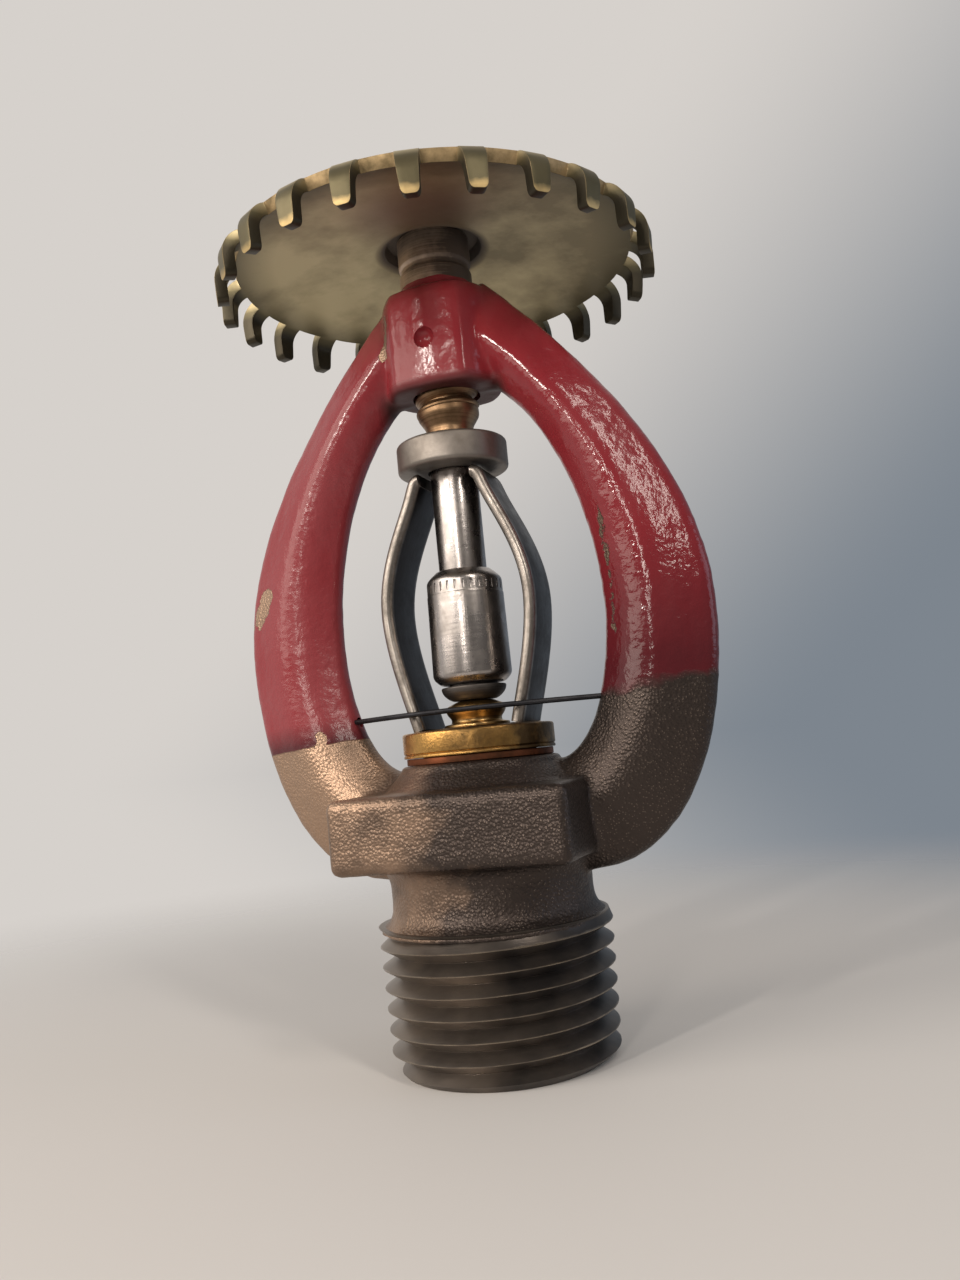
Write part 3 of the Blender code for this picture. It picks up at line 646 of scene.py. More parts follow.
@dataclass(frozen=True)
class CutThread:
    """Thread cut in bronze and oxidised nearly black, its crests rubbed bright and partly painted as
    highlight lines.
    """

    dark: str = "#44403e"
    # lighter brown, laid on the left side as painted light
    brown: str = "#82776c"
    # crest lines, partly rubbed bright and partly painted highlight
    crest: str = "#938778"
    crest_radius: float = 10.27
    taper: float = 1 / 32
    rub: float = 1.5
    cloud: float = 5.0
    tool_mark: float = 0.14  # drawn coarser than the real ones, which wouldn't show
    tool_depth: float = 0.006

    def build(self) -> Material:
        """Oxidise the thread, less on its left side as painted light, and rub its crests, their bright
        lines partly painted highlights.

        Returns:
            The material.
        """
        r = Recipe(bpy.data.materials.new("oxidised_thread_bronze"))
        x, _, z = r.axes()
        _, radius = r.from_axis()
        cone = r.add("Math", z, -self.taper, radius, operation="MULTIPLY_ADD")
        rub = r.add("TexNoise", r.place, per_mm(self.rub), 4.0)
        cone = r.add("Math", rub, 0.25 * MM, cone, operation="MULTIPLY_ADD")
        crest = r.add("MapRange", cone, (self.crest_radius + 0.04) * MM, (self.crest_radius + 0.15) * MM)
        cloud = r.add("TexNoise", r.place, per_mm(self.cloud), 5.0)
        # painted light: lighter brown towards -X, darker towards +X
        age = r.add("MapRange", x, -10 * MM, 10 * MM, 0.3, -0.3)
        cloud = r.add("Math", cloud, age, operation="ADD")
        cloud = r.add("MapRange", cloud, 0.2, 0.85)
        skin = r.add("Mix", cloud, self.dark, self.brown, data_type="RGBA")
        # crests rubbed bright, partly a painted highlight
        colour = r.add("Mix", crest, skin, self.crest, data_type="RGBA")
        roughness = r.add("MapRange", crest, 0.0, 1.0, 0.38, 0.24)
        lathe = r.add("CombineXYZ", radius, None, z)
        tool = r.add("TexNoise", lathe, per_mm(self.tool_mark), 2.0)
        normal = r.add("Bump", None, self.tool_depth * MM, None, tool)
        return r.dress(Base_Color=colour, Metallic=0.9, Roughness=roughness, Normal=normal)


@dataclass(frozen=True)
class PassivatedBrass:
    """Rolled brass sheet, pressed and passivated: olive and satin, stained, bright at the tips, with
    painted light and shade.
    """

    # olive and khaki skin, paler towards -X and darker towards +X as painted light and shade
    olive: str = "#c0b18a"
    khaki: str = "#83775b"
    # painted shade on the tines below their roots
    dark: str = "#4b4632"
    stain: str = "#8d7364"
    # painted shade in the recess round the spigot
    recess_shade: str = "#4d4540"
    # tips rubbed bright, partly a painted highlight
    tip: str = "#b8a070"
    inside: str = "#39342a"  # painted shade on the tines' inward faces and at their cut edges
    tip_height: float = 71.75
    root_height: float = 74.4
    rim_radius: float = 21.0
    recess_shade_radius: float = 5.3
    stain_place: Point3 = (2.0, -8.0, 75.0)
    cloud: float = 7.0
    rub: float = 1.2
    fine: float = 0.5  # rolling texture; the real one is finer and wouldn't show
    fine_depth: float = 0.012

    def build(self) -> Material:
        """Cloud the brass, stain its underside, paint shade in its recess and on its tines, and rub the
        tips of its tines, partly as a painted highlight.

        Returns:
            The material.
        """
        r = Recipe(bpy.data.materials.new("passivated_brass_sheet"))
        x, _, z = r.axes()
        flat, radius = r.from_axis()
        facing = r.add("NewGeometry", out="Normal")
        under = r.add("MapRange", r.add("SeparateXYZ", facing, out="Z"), 0.5, 0.0)
        outward = r.add("VectorMath", facing, flat, operation="DOT_PRODUCT")
        outward = r.add("MapRange", outward, 0.15 * self.rim_radius * MM, 0.5 * self.rim_radius * MM)

        cloud = r.add("TexNoise", r.place, per_mm(self.cloud), 6.0, 0.6)
        # painted light and shade: paler olive towards -X, khaki towards +X
        age = r.add("MapRange", x, -18 * MM, 18 * MM, -0.22, 0.22)
        skin = r.add("Math", cloud, age, operation="ADD")
        skin = r.add("MapRange", skin, 0.3, 0.7)
        colour = r.add("Mix", skin, self.olive, self.khaki, data_type="RGBA")
        # painted shade: the tines darker below their roots
        tine = r.add("MapRange", z, (self.root_height + 0.8) * MM, self.root_height * MM, 0.0, 0.85)
        colour = r.add("Mix", tine, colour, self.dark, data_type="RGBA")

        spot = r.add("Mapping", r.place, tuple(-part * MM for part in self.stain_place))
        spot = r.add("VectorMath", spot, operation="LENGTH")
        spot = r.add("Math", cloud, 6 * MM, spot, operation="MULTIPLY_ADD")
        spot = r.add("MapRange", spot, 10.5 * MM, 5.5 * MM, 0.0, 0.75)
        spot = r.add("Math", spot, under, operation="MULTIPLY")
        colour = r.add("Mix", spot, colour, self.stain, data_type="RGBA")
        # painted shade: darker in the recess round the spigot, on the underside
        recess_shade = r.add("Math", cloud, 1.2 * MM, radius, operation="MULTIPLY_ADD")
        recess_shade = r.add("MapRange", recess_shade, (self.recess_shade_radius + 1.0) * MM, (self.recess_shade_radius + 0.2) * MM,
                     0.0, 0.92)
        recess_shade = r.add("Math", recess_shade, under, operation="MULTIPLY")
        colour = r.add("Mix", recess_shade, colour, self.recess_shade, data_type="RGBA")

        # painted shade on the tines' faces that don't face outward
        inner = r.add("Math", 1.0, outward, operation="SUBTRACT")
        below = r.add("MapRange", z, (self.root_height + 0.1) * MM, (self.root_height - 0.7) * MM,
                      0.0, 0.85)
        inner = r.add("Math", inner, below, operation="MULTIPLY")
        colour = r.add("Mix", inner, colour, self.inside, data_type="RGBA")
        # tips rubbed bright on their outward faces, partly a painted highlight
        rub = r.add("TexNoise", r.place, per_mm(self.rub), 4.0)
        rub = r.add("Math", rub, 1.0 * MM, z, operation="MULTIPLY_ADD")
        rub = r.add("MapRange", rub, (self.tip_height + 0.8) * MM, (self.tip_height + 0.2) * MM)
        rub = r.add("Math", rub, outward, operation="MULTIPLY")
        colour = r.add("Mix", rub, colour, self.tip, data_type="RGBA")

        metallic = r.add("MapRange", recess_shade, 0.0, 1.0, 0.75, 0.0)
        roughness = r.add("MapRange", skin, 0.0, 1.0, 0.42, 0.52)
        roughness = r.add("Math", recess_shade, 0.3, roughness, operation="MULTIPLY_ADD")
        fine = r.add("TexNoise", r.place, per_mm(self.fine), 4.0)
        normal = r.add("Bump", None, self.fine_depth * MM, None, fine)
        return r.dress(Base_Color=colour, Metallic=metallic, Roughness=roughness, Normal=normal)


@dataclass(frozen=True)
class PolishedSteel:
    """Ground and polished steel: bright, with dull clouds and fine scratches along and round it."""

    name: str = "polished_steel"
    colour: str = "#b3adaa"
    dull: str = "#938d88"
    roughness: float = 0.25
    cloud: float = 2.2
    scratch: float = 0.22  # drawn coarser than the real ones, which wouldn't show
    scratch_depth: float = 0.009
    face: str = "#3a3533"  # painted dark reflection on the broad face of a strip
    dark_face_half_width: float = 0.0  # half the width at which a strip's edges begin, outside the painted dark reflection; 0 on round stock

    def build(self) -> Material:
        """Cloud and scratch the steel, and paint a dark reflection on the broad faces of a strip.

        Returns:
            The material.
        """
        r = Recipe(bpy.data.materials.new(self.name))
        cloud = r.add("TexNoise", r.place, per_mm(self.cloud), 6.0, 0.7)
        cloud = r.add("MapRange", cloud, 0.42, 0.7)
        colour = r.add("Mix", cloud, self.colour, self.dull, data_type="RGBA")
        # painted reflection: the broad faces of a strip darker than its round edges
        if self.dark_face_half_width:
            across = r.add("Math", r.axes()[1], operation="ABSOLUTE")
            rim = r.add("MapRange", across, (self.dark_face_half_width - 0.3) * MM, (self.dark_face_half_width + 0.1) * MM)
            colour = r.add("Mix", rim, self.face, colour, data_type="RGBA")
        along = r.add("Mapping", r.place, None, None, (1.0, 1.0, 0.06))
        along = r.add("TexNoise", along, per_mm(self.scratch), 3.0)
        around = r.add("Mapping", r.place, None, None, (0.08, 0.08, 1.0))
        around = r.add("TexNoise", around, per_mm(self.scratch), 3.0)
        marks = r.add("Math", along, around, operation="ADD")
        roughness = r.add("MapRange", cloud, 0.0, 1.0, self.roughness, self.roughness + 0.16)
        normal = r.add("Bump", None, self.scratch_depth * MM, None, marks)
        return r.dress(Base_Color=colour, Metallic=1.0, Roughness=roughness, Normal=normal)


class Stock(Enum):
    """The turned and rolled metals, each with its finish."""

    # satin bronze, with painted shade on the side at +X that faces away from the light
    SPIGOT = TurnedMetal("machined_bronze_spigot", "#c8b09a", "#66594f", 0.45, streak=0.3,
                         metallic=0.7, age=0.5)
    # brown brass with streaks along the tool marks; the button is the brighter of the two
    SCREW = TurnedMetal("turned_brass", "#ab8c6c", "#644e39", 0.36, streak=0.5)
    BUTTON = TurnedMetal("turned_brass_button", "#bb9a66", "#7d6240", 0.26, streak=0.4)
    # golden brass that sparkles, with brown stains and a little painted shade on the side at +X
    CAP = TurnedMetal("grit_blasted_brass", "#bd9254", "#54422b", 0.27, grain=0.3, grain_depth=0.035,
                      stain_size=3.0, stain_share=0.35, age=0.16)
    # pale grey and dull
    CUP = TurnedMetal("dull_turned_aluminium", "#928b84", "#746d66", 0.44, ring=0.12, grain=0.35,
                      grain_depth=0.012)
    # nearly black, with a faint brown sheen
    PLUG = TurnedMetal("oxidised_steel", "#5f5a56", "#403c3a", 0.42, streak=0.4, metallic=0.8)
    # dark red-brown line under the cap
    GASKET = TurnedMetal("annealed_copper", "#8a5238", "#4f3426", 0.5)
    # matt blue-grey, as poured
    SOLDER = TurnedMetal("cast_solder", "#8d8e93", "#6f7075", 0.5, grain_depth=0.02)
    # rough pale gold where the press has cut
    SHEAR = TurnedMetal("sheared_brass_edge", "#ae9670", "#7c6b4c", 0.5, metallic=0.7, stain_size=1.2,
                        grain=0.25, grain_depth=0.015)
    # dark grey with a thin glint along it
    WIRE = TurnedMetal("drawn_spring_wire", "#3d3d40", "#2b2b2e", 0.45)

    def build(self) -> Material:
        """Return the metal's material."""
        return self.value.build()


# ---------------------------------------------------------------- frame casting

@dataclass(frozen=True)
class WornPatch:
    """Capsule of worn enamel between two points."""

    start: Point3
    end: Point3
    radius: float
    strength: float = 1.0

    def at(self, places: np.ndarray) -> np.ndarray:
        """Find how worn the enamel is.

        Args:
            places: Points on the casting.

        Returns:
            The wear from 0 to 1 at each of them.
        """
        start, way = np.array(self.start), np.array(self.end) - np.array(self.start)
        along = np.clip((places - start) @ way / (way @ way), 0, 1)
        gap = np.linalg.norm(places - (start + along[:, None] * way), axis=1)
        return self.strength * np.clip(1.3 * (1 - gap / self.radius), 0, 1)


@dataclass
class Casting:
    """The bronze frame: hub, two arms, boss, wrench pads and neck, cast as one piece."""

    hub_radius: float = 5.5
    hub_flat: float = 4.75
    hub_crown: float = 0.0365  # how fast the flats fall away to their sides, per mm
    hub_points: int = 64
    hub_bottom: float = 61.6
    hub_top: float = 71.6
    spigot_radius: float = 3.5
    arm_half_thick: float = 3.05
    arm_root_extra: float = 0.8
    arm_stations: int = 14
    arm_inset: float = 3.0  # how far the ends reach into the body and the hub
    arm_end: Point3 = (0.2, 1.1, 0.8)  # in the hub: rise within, drop outside, share of the thickness
    # share of the width from the inner to the outer edge, and of half the thickness
    arm_section: tuple[Point2, ...] = ((-0.02, 0.0), (0.0, 0.26), (0.06, 0.46), (0.24, 0.86), (0.42, 1.04),
                                       (0.58, 0.93), (0.8, 0.6), (0.96, 0.33), (1.005, 0.0))
    section_points: int = 5  # between two corners of the section
    pad_bottom: float = 18.0
    pad_top: float = 24.6
    pad_width: float = 21.7
    pad_across: float = 22.2
    pad_edge: float = 0.8
    seat_height: float = 26.9
    seat_radius: float = 7.35
    boss_radius: float = 9.5
    neck_radius: float = 9.25
    thread_top: float = 12.7
    voxel: float = 0.25
    smoothing: int = 8
    waves: tuple[Point2, ...] = ((0.32, 0.05), (1.1, 0.025))  # unevenness: times a mm, height
    orifice_radius: float = 5.6
    orifice_bottom: float = 22.9
    waterway_top: float = 30.0
    inlet_radius: float = 7.2
    inlet_height: float = 2.0
    past: float = 2.0  # how far a cutter reaches past the face it cuts
    screw_radius: float = 3.25
    screw_top: float = 69.57
    screw_cone: float = 1.2
    driver_radius: float = 1.6
    driver_top: float = 82.0
    punch_radius: float = 1.02
    punch_height: float = 66.1
    punch_proud: float = 0.15  # how far the middle of the punch stands off the flat
    wire_height: float = 31.55
    wire_out: float = 13.2
    wire_back: float = 0.55
    wire_hole: float = 0.5
    wire_depth: float = 3.2

    # curves of the arms' edges, from the widest place up and down
    OUTER_UPPER = ((23.0, 39.0), (23.0, 50.0), (15.5, 61.1), (4.8, 72.0))
    INNER_UPPER = ((13.4, 40.0), (13.4, 48.0), (10.4, 56.9), (5.2, 61.6))
    OUTER_LOWER = ((23.0, 39.0), (23.0, 28.5), (19.25, 16.9), (9.85, 16.4))
    INNER_LOWER = ((13.4, 40.0), (13.4, 34.0), (11.5, 27.0), (8.0, 26.2))
    WEAR = (
        WornPatch((-21.2, -1.0, 42.6), (-20.2, -2.2, 44.6), 1.7),
        WornPatch((-22.2, 0.0, 42.0), (-21.6, 0.5, 45.4), 1.6),
        WornPatch((14.3, -1.9, 49.0), (14.0, -1.9, 37.0), 1.1, 0.56),
        WornPatch((14.0, -1.9, 37.0), (12.8, -2.0, 31.0), 1.0, 0.5),
        WornPatch((-4.4, -3.6, 69.4), (-4.9, -3.3, 65.8), 1.0, 0.62),
        WornPatch((-14.8, -3.0, 30.4), (-15.0, -3.0, 29.0), 1.0, 0.8),
    )

    def section_ring(self, inner: Vector, outer: Vector, half_thick: float, side: int) -> list[Vector]:
        """Draw a smooth section of an arm between its inner and outer edge.

        Args:
            inner: Inner edge in the XZ plane.
            outer: Outer edge in the XZ plane.
            half_thick: Half the thickness at the widest place.
            side: -1 for the left arm, 1 for the right.

        Returns:
            Points round the section.
        """
        half = [Vector(corner) for corner in self.arm_section]
        whole = [Vector((u, -v)) for u, v in half] + [Vector((u, v)) for u, v in reversed(half[1:-1])]
        ring = []
        for k in range(len(whole)):
            before, start, end, after = (whole[(k + step) % len(whole)] for step in (-1, 0, 1, 2))
            for step in range(self.section_points):
                t = step / self.section_points
                spline = 0.5 * (2 * start + (end - before) * t
                                + (2 * before - 5 * start + 4 * end - after) * t ** 2
                                + (3 * start - before - 3 * end + after) * t ** 3)
                flat = inner + (outer - inner) * spline.x
                ring.append(Vector((side * flat.x, spline.y * half_thick, flat.y)))
        return ring

    def arm(self, side: int) -> Mesh:
        """Loft one arm, from inside the body, out and up to inside the hub.

        Args:
            side: -1 for the left arm, 1 for the right.

        Returns:
            The arm, closed at both ends.
        """
        inset, thick, extra = Vector((self.arm_inset, 0.0)), self.arm_half_thick, self.arm_root_extra
        rise, fall, thin = self.arm_end
        shares = [k / self.arm_stations for k in range(self.arm_stations + 1)]
        lower = [(cubic(self.INNER_LOWER, t), cubic(self.OUTER_LOWER, t), thick + extra * t ** 3)
                 for t in reversed(shares)]
        upper = [(cubic(self.INNER_UPPER, t), cubic(self.OUTER_UPPER, t), thick) for t in shares]
        (inner, outer, root), (inside, outside, _) = lower[0], upper[-1]
        foot = (inner - inset, outer - inset, root)
        head = (inside - inset + Vector((0, rise)), outside - inset - Vector((0, fall)), thick * thin)
        stations = [foot, *lower[:-1], *upper, head]
        return loft([self.section_ring(*station, side) for station in stations])

    def hub(self) -> Mesh:
        """Loft the hub, round with a slightly crowned flat at its front and back.

        Returns:
            The hub.
        """
        low, high, rings = self.hub_bottom, self.hub_top, []
        for height, inset in ((low, 0.6), (low + 0.18, 0.18), (low + 0.6, 0.0),
                              (high - 1.2, 0.0), (high - 0.35, 0.35), (high, 1.2)):
            ring = []
            for k in range(self.hub_points):
                turn = FULL_TURN * k / self.hub_points
                x = math.cos(turn) * (self.hub_radius - inset)
                y = math.sin(turn) * (self.hub_radius - inset)
                flat = self.hub_flat - inset - self.hub_crown * x * x
                ring.append(Vector((x, min(max(y, -flat), flat), height)))
            rings.append(ring)
        return loft(rings)

    def stub(self) -> Mesh:
        """Return the cast foot of the spigot."""
        radius, top = self.spigot_radius, self.hub_top
        return turned(((0, top + 1.6, 0), (radius - 0.2, top + 1.6, 0), (radius + 0.2, top, 0.4),
                       (radius + 0.2, top - 1, 0), (0, top - 1, 0)))

    def body(self) -> Mesh:
        """Turn the boss, the core between the pads and the waisted neck.

        Returns:
            All three as one solid.
        """
        seat, boss, neck = self.seat_radius, self.boss_radius, self.neck_radius
        top, pad, thread = self.seat_height, self.pad_bottom, self.thread_top
        return turned(((0, top, 0), (seat, top, 0.3), (seat, top - 0.5, 0.3),
                       (boss, self.pad_top - 0.3, 0.4), (boss, pad + 0.8, 0), (neck + 2.0, pad + 0.3, 0),
                       (neck, pad + 0.05, 1.6), (neck - 0.1, thread + 2.4, 0),
                       (neck, thread + 0.6, 0.8), (neck + 1.2, thread - 0.25, 0.3),
                       (neck + 1.2, thread - 0.6, 0), (0, thread - 0.6, 0)))

    def cutters(self) -> Mesh:
        """Gather the waterway, the screw hole, the punch mark and the wire holes.

        Returns:
            All of them as one tool.
        """
        orifice, inlet, high = self.orifice_radius, self.inlet_radius, self.waterway_top
        screw, driver, top = self.screw_radius, self.driver_radius, self.driver_top
        below = self.hub_bottom - self.past
        waterway = turned(((0, high, 0), (orifice, high, 0), (orifice, self.orifice_bottom, 0),
                           (inlet, self.inlet_height, 0), (inlet, -self.past, 0), (0, -self.past, 0)))
        screw_hole = turned(((0, top, 0), (driver, top, 0), (driver, self.screw_top, 0),
                             (screw, self.screw_top - self.screw_cone, 0), (screw, below, 0),
                             (0, below, 0)), STEPS // 2)
        punch = bmesh.new()
        centre = (0, -self.hub_flat - self.punch_proud, self.punch_height)
        bmesh.ops.create_uvsphere(punch, u_segments=32, v_segments=20, radius=self.punch_radius,
                                  matrix=Matrix.Translation(centre))
        holes = [waterway, screw_hole, punch]
        for side in SIDES:
            hole = bmesh.new()
            centre = Vector((side * self.wire_out, self.wire_back, self.wire_height))
            turn = Vector(AXIS).rotation_difference(Vector((side, self.wire_back, 0))).to_matrix().to_4x4()
            bmesh.ops.create_cone(hole, cap_ends=True, segments=16, radius1=self.wire_hole,
                                  radius2=self.wire_hole, depth=self.wire_depth,
                                  matrix=Matrix.Translation(centre) @ turn)
            holes.append(hole)
        return joined(holes)

    def weather(self, mesh: bpy.types.Mesh) -> None:
        """Give the casting its unevenness and its wear attribute.

        Args:
            mesh: Mesh of the casting.
        """
        places, normals = np.empty((2, len(mesh.vertices) * 3), np.float32)
        mesh.vertices.foreach_get("co", places)
        mesh.vertex_normals.foreach_get("vector", normals)
        places, normals = places.reshape(-1, 3), normals.reshape(-1, 3)
        waves = [sum(noise.noise(Vector(place) * often) * height for often, height in self.waves)
                 for place in places]
        places += normals * np.array(waves, np.float32)[:, None]
        mesh.vertices.foreach_set("co", places.ravel())
        wear = np.max([patch.at(places) for patch in self.WEAR], axis=0)
        mesh.attributes.new("wear", "FLOAT", "POINT").data.foreach_set("value", wear.astype(np.float32))

    def build(self) -> None:
        """Cast the frame and set it in place."""
        wide, deep = self.pad_width / 2, self.pad_across / 2
        pads = block((-wide, -deep, self.pad_bottom), (wide, deep, self.pad_top), self.pad_edge)
        shells = [self.hub(), self.stub(), self.body(), pads] + [self.arm(side) for side in SIDES]
        made = mesh_object("frame_casting", joined(shells))
        add_modifier(made, "REMESH", mode="VOXEL", voxel_size=self.voxel, use_smooth_shade=True)
        add_modifier(made, "SMOOTH", factor=0.5, iterations=self.smoothing)
        apply_modifiers(made)
        self.weather(made.data)
        boolean(made, self.cutters(), "DIFFERENCE")
        fit_piece(made, [CastEnamel().build()], "frame", crease=40)


@dataclass
class Spigot:
    """Machined spigot above the hub, its end riveted over the deflector."""

    radius: float = 3.5
    rivet_radius: float = 2.6
    head_radius: float = 3.7
    head: float = 0.8
    bottom: float = 71.2
    shoulder: float = 77.3
    hole_radius: float = 1.6
    groove: Point3 = (73.7, 74.6, 0.25)  # lower and upper edge, depth
    groove_slope: float = 0.2

    def build(self) -> None:
        """Turn the spigot and set it in place."""
        top = cad_box("frame")[1].z
        hole, rivet, radius, under = self.hole_radius, self.rivet_radius, self.radius, top - self.head
        low, high, depth = self.groove
        fit_turned("spigot", "frame", Stock.SPIGOT.build(), (
            (hole, top, 0.3), (self.head_radius - 0.2, top, 0.5), (self.head_radius, under, 0.2),
            (rivet, under, 0), (rivet, self.shoulder, 0), (radius, self.shoulder, 0.15),
            (radius, high, 0.1), (radius - depth, high - self.groove_slope, 0.1),
            (radius - depth, low + self.groove_slope, 0.1), (radius, low, 0.1),
            (radius, self.bottom, 0), (hole, self.bottom, 0)))


@dataclass
class InletThread:
    """Male taper pipe thread at the inlet, 14 threads an inch."""

    pitch: float = 25.4 / 14
    crest_radius: float = 10.27
    depth: float = 1.35
    taper: float = 1 / 32
    lead_radius: float = 9.38
    lead_slope: float = 0.9
    top: float = 12.75
    run_out: float = 1.5
    run_out_share: float = 0.75  # of the depth that the run-out fills
    nick: float = 0.03
    steps: int = 144
    # radius and height of the waterway inside: where it narrows, where it is straight, its mouth
    bore_neck: Point2 = (5.822, 20.0)
    bore: Point2 = (7.2, 2.0)
    bore_mouth: Point2 = (7.8, -0.4)
    past: float = 2.0  # how far the cutter reaches past the end
    # share of the pitch and of the depth: rounded root, flank, slightly flattened crest
    profile: tuple[Point2, ...] = ((0.0, 0.0), (0.05, 0.06), (0.465, 0.96), (0.49, 1.0), (0.51, 1.0),
                                   (0.535, 0.96), (0.95, 0.06))

    def shape(self, place: Vector) -> Vector:
        """Taper the straight thread, with its lead and its run-out.

        Args:
            place: A point of the straight thread.

        Returns:
            Where it goes.
        """
        radius = math.hypot(place.x, place.y)
        if radius < MERGE:
            return place
        crest = self.crest_radius + place.z * self.taper
        wanted = radius + place.z * self.taper
        fade = min(max((place.z - (self.top - self.run_out)) / self.run_out, 0.0), 1.0)
        wanted += (crest - wanted) * self.run_out_share * (fade * fade * (3 - 2 * fade))
        wanted = min(wanted, self.lead_radius + self.lead_slope * place.z)
        wanted += noise.noise(place * 0.9) * self.nick
        return Vector((place.x, place.y, 0)) * (wanted / radius) + Vector((0, 0, place.z))

    def build(self) -> None:
        """Cut the thread, bore it and set it in place."""
        core = self.crest_radius - self.depth
        bm = helix(self.profile, core, self.depth, self.pitch, (0.0, self.top), self.steps)
        for vert in bm.verts:
            vert.co = self.shape(vert.co)
        made = mesh_object("inlet_thread", bm)
        (neck, height), (bore, straight), (wide, rim) = self.bore_neck, self.bore, self.bore_mouth
        past = -self.past
        boolean(made, turned(((0, height, 0), (neck, height, 0), (bore, straight, 0), (bore, -rim, 0),
                              (wide, rim, 0), (wide, past, 0), (0, past, 0))), "DIFFERENCE")
        fit_piece(made, [CutThread().build()], "frame", crease=30)


# ---------------------------------------------------------------- deflector

@dataclass
class Deflector:
    """Shallow pressed dome of brass sheet with tines bent down at its rim."""

    sheet: float = 1.1
    tines: int = 24
    turn: float = math.radians(1.0)  # how far the tines stand round from the arms
    bend_radius: float = 2.6
    bend_points: int = 8
    notch: float = math.radians(22.0)  # how far round the bend the notches reach
    root_width: float = 2.05
    tip_width: float = 1.5
    tip_round: float = 0.5
    dome_rise: float = 1.8
    dish_radius: float = 4.8
    dish_slope: float = 0.5
    hole_radius: float = 2.85
    dish_ring: float = 3.6  # radius of a ring of points in the flat of the dish
    rim_drop: float = 3.35
    edge: float = 0.16
    rings: int = 14
    seed: int = 5
    lean_in: float = 0.28  # how unequal the tines are at their tips
    lean_aside: float = 0.14
    shorter: float = 0.16
    tine_zone: float = 18.0  # radius past which there are only tines
    sheared: float = 0.5  # least turn outwards, as a cosine, of a face that keeps its sheared look

    def middle(self) -> tuple[list[Point2], list[Point2]]:
        """Work out the middle line of the sheet, as radius and height.

        Returns:
            Its points from the hole to the notches, and on down a tine.
        """
        low, high = cad_box("deflector")
        half = self.sheet / 2
        bend_mid = self.bend_radius - half
        bend_at = high.x - self.bend_radius
        tilt = math.atan(2 * self.dome_rise / bend_at)
        edge_r = bend_at + bend_mid * math.sin(tilt)
        edge_z = low.z + self.rim_drop + half
        bend_z = edge_z - bend_mid * math.cos(tilt)
        dish_z = high.z - half

        def dome(radius: float) -> Point2:
            """Return the middle of the sheet at a radius of the dome."""
            return radius, edge_z + self.dome_rise * (1 - (radius / edge_r) ** 2)

        def bend(angle: float) -> Point2:
            """Return the middle of the sheet at an angle round the bend."""
            return bend_at + bend_mid * math.sin(angle), bend_z + bend_mid * math.cos(angle)

        dome_r = self.dish_radius + self.dish_slope
        path = [(self.hole_radius, dish_z), (self.dish_ring, dish_z), (self.dish_radius - 0.15, dish_z),
                (self.dish_radius + 0.1, dish_z - 0.12), (dome_r - 0.1, dome(dome_r)[1] + 0.12)]
        start = dome_r + 0.15
        path += [dome(start + (edge_r - dome_r - 0.15) * k / self.rings) for k in range(self.rings + 1)]
        path += [bend((tilt + self.notch) / 2), bend(self.notch)]
        drop = [bend(self.notch + (math.pi / 2 - self.notch) * k / self.bend_points)
                for k in range(1, self.bend_points + 1)]
        foot = drop[-1][1]
        return path, drop + [(high.x - half, low.z + (foot - low.z) * share) for share in (0.66, 0.33, 0.0)]

    def sector(self, path: Sequence[Point2], drop: Sequence[Point2]) -> Mesh:
        """Draw the middle of the sheet round one tine.

        Args:
            path: Radius and height of its points from the hole to the notches.
            drop: The same down the tine.

        Returns:
            The open sheet of one tine.
        """
        pitch = FULL_TURN / self.tines
        root = math.asin(self.root_width / 2 / path[-1][0])
        beside = (pitch / 2 + root) / 2
        angles = [-pitch / 2, -beside, -root, -root / 2, 0.0, root / 2, root, beside, pitch / 2]
        bm = bmesh.new()
        rows = [[Vector((radius * math.cos(a), radius * math.sin(a), height)) for a in angles]
                for radius, height in path]
        row = [bm.verts.new(place) for place in rows[0]]
        for pair in zip(row, row[1:]):
            bm.edges.new(pair)
        for places in rows[1:]:
            row = self.grow(bm, row, places)
        row = row[2:7]
        top, bottom = drop[0][1], drop[-1][1]
        for radius, height in drop:
            share = (top - height) / (top - bottom)
            half = (self.root_width + (self.tip_width - self.root_width) * share) / 2
            places = [Vector((radius, half * across, height)) for across in (-1, -0.5, 0, 0.5, 1)]
            row = self.grow(bm, row, places)
        round_off(bm, [row[0], row[-1]], self.tip_round, "VERTICES")
        return bm

    @staticmethod
    def grow(bm: Mesh, row: Sequence[Vert], places: Sequence[Vector]) -> list[Vert]:
        """Extrude a row of points to new places.

        Args:
            bm: The sheet.
            row: Its last row of points.
            places: Where the new row goes.

        Returns:
            The new row.
        """
        edges = [next(edge for edge in first.link_edges if second in edge.verts)
                 for first, second in zip(row, row[1:])]
        made = bmesh.ops.extrude_edge_only(bm, edges=edges)["geom"]
        fresh = {item for item in made if isinstance(item, Vert)}
        grown = [next(vert for edge in old.link_edges for vert in edge.verts if vert in fresh)
                 for old in row]
        for vert, place in zip(grown, places):
            vert.co = place
        return grown

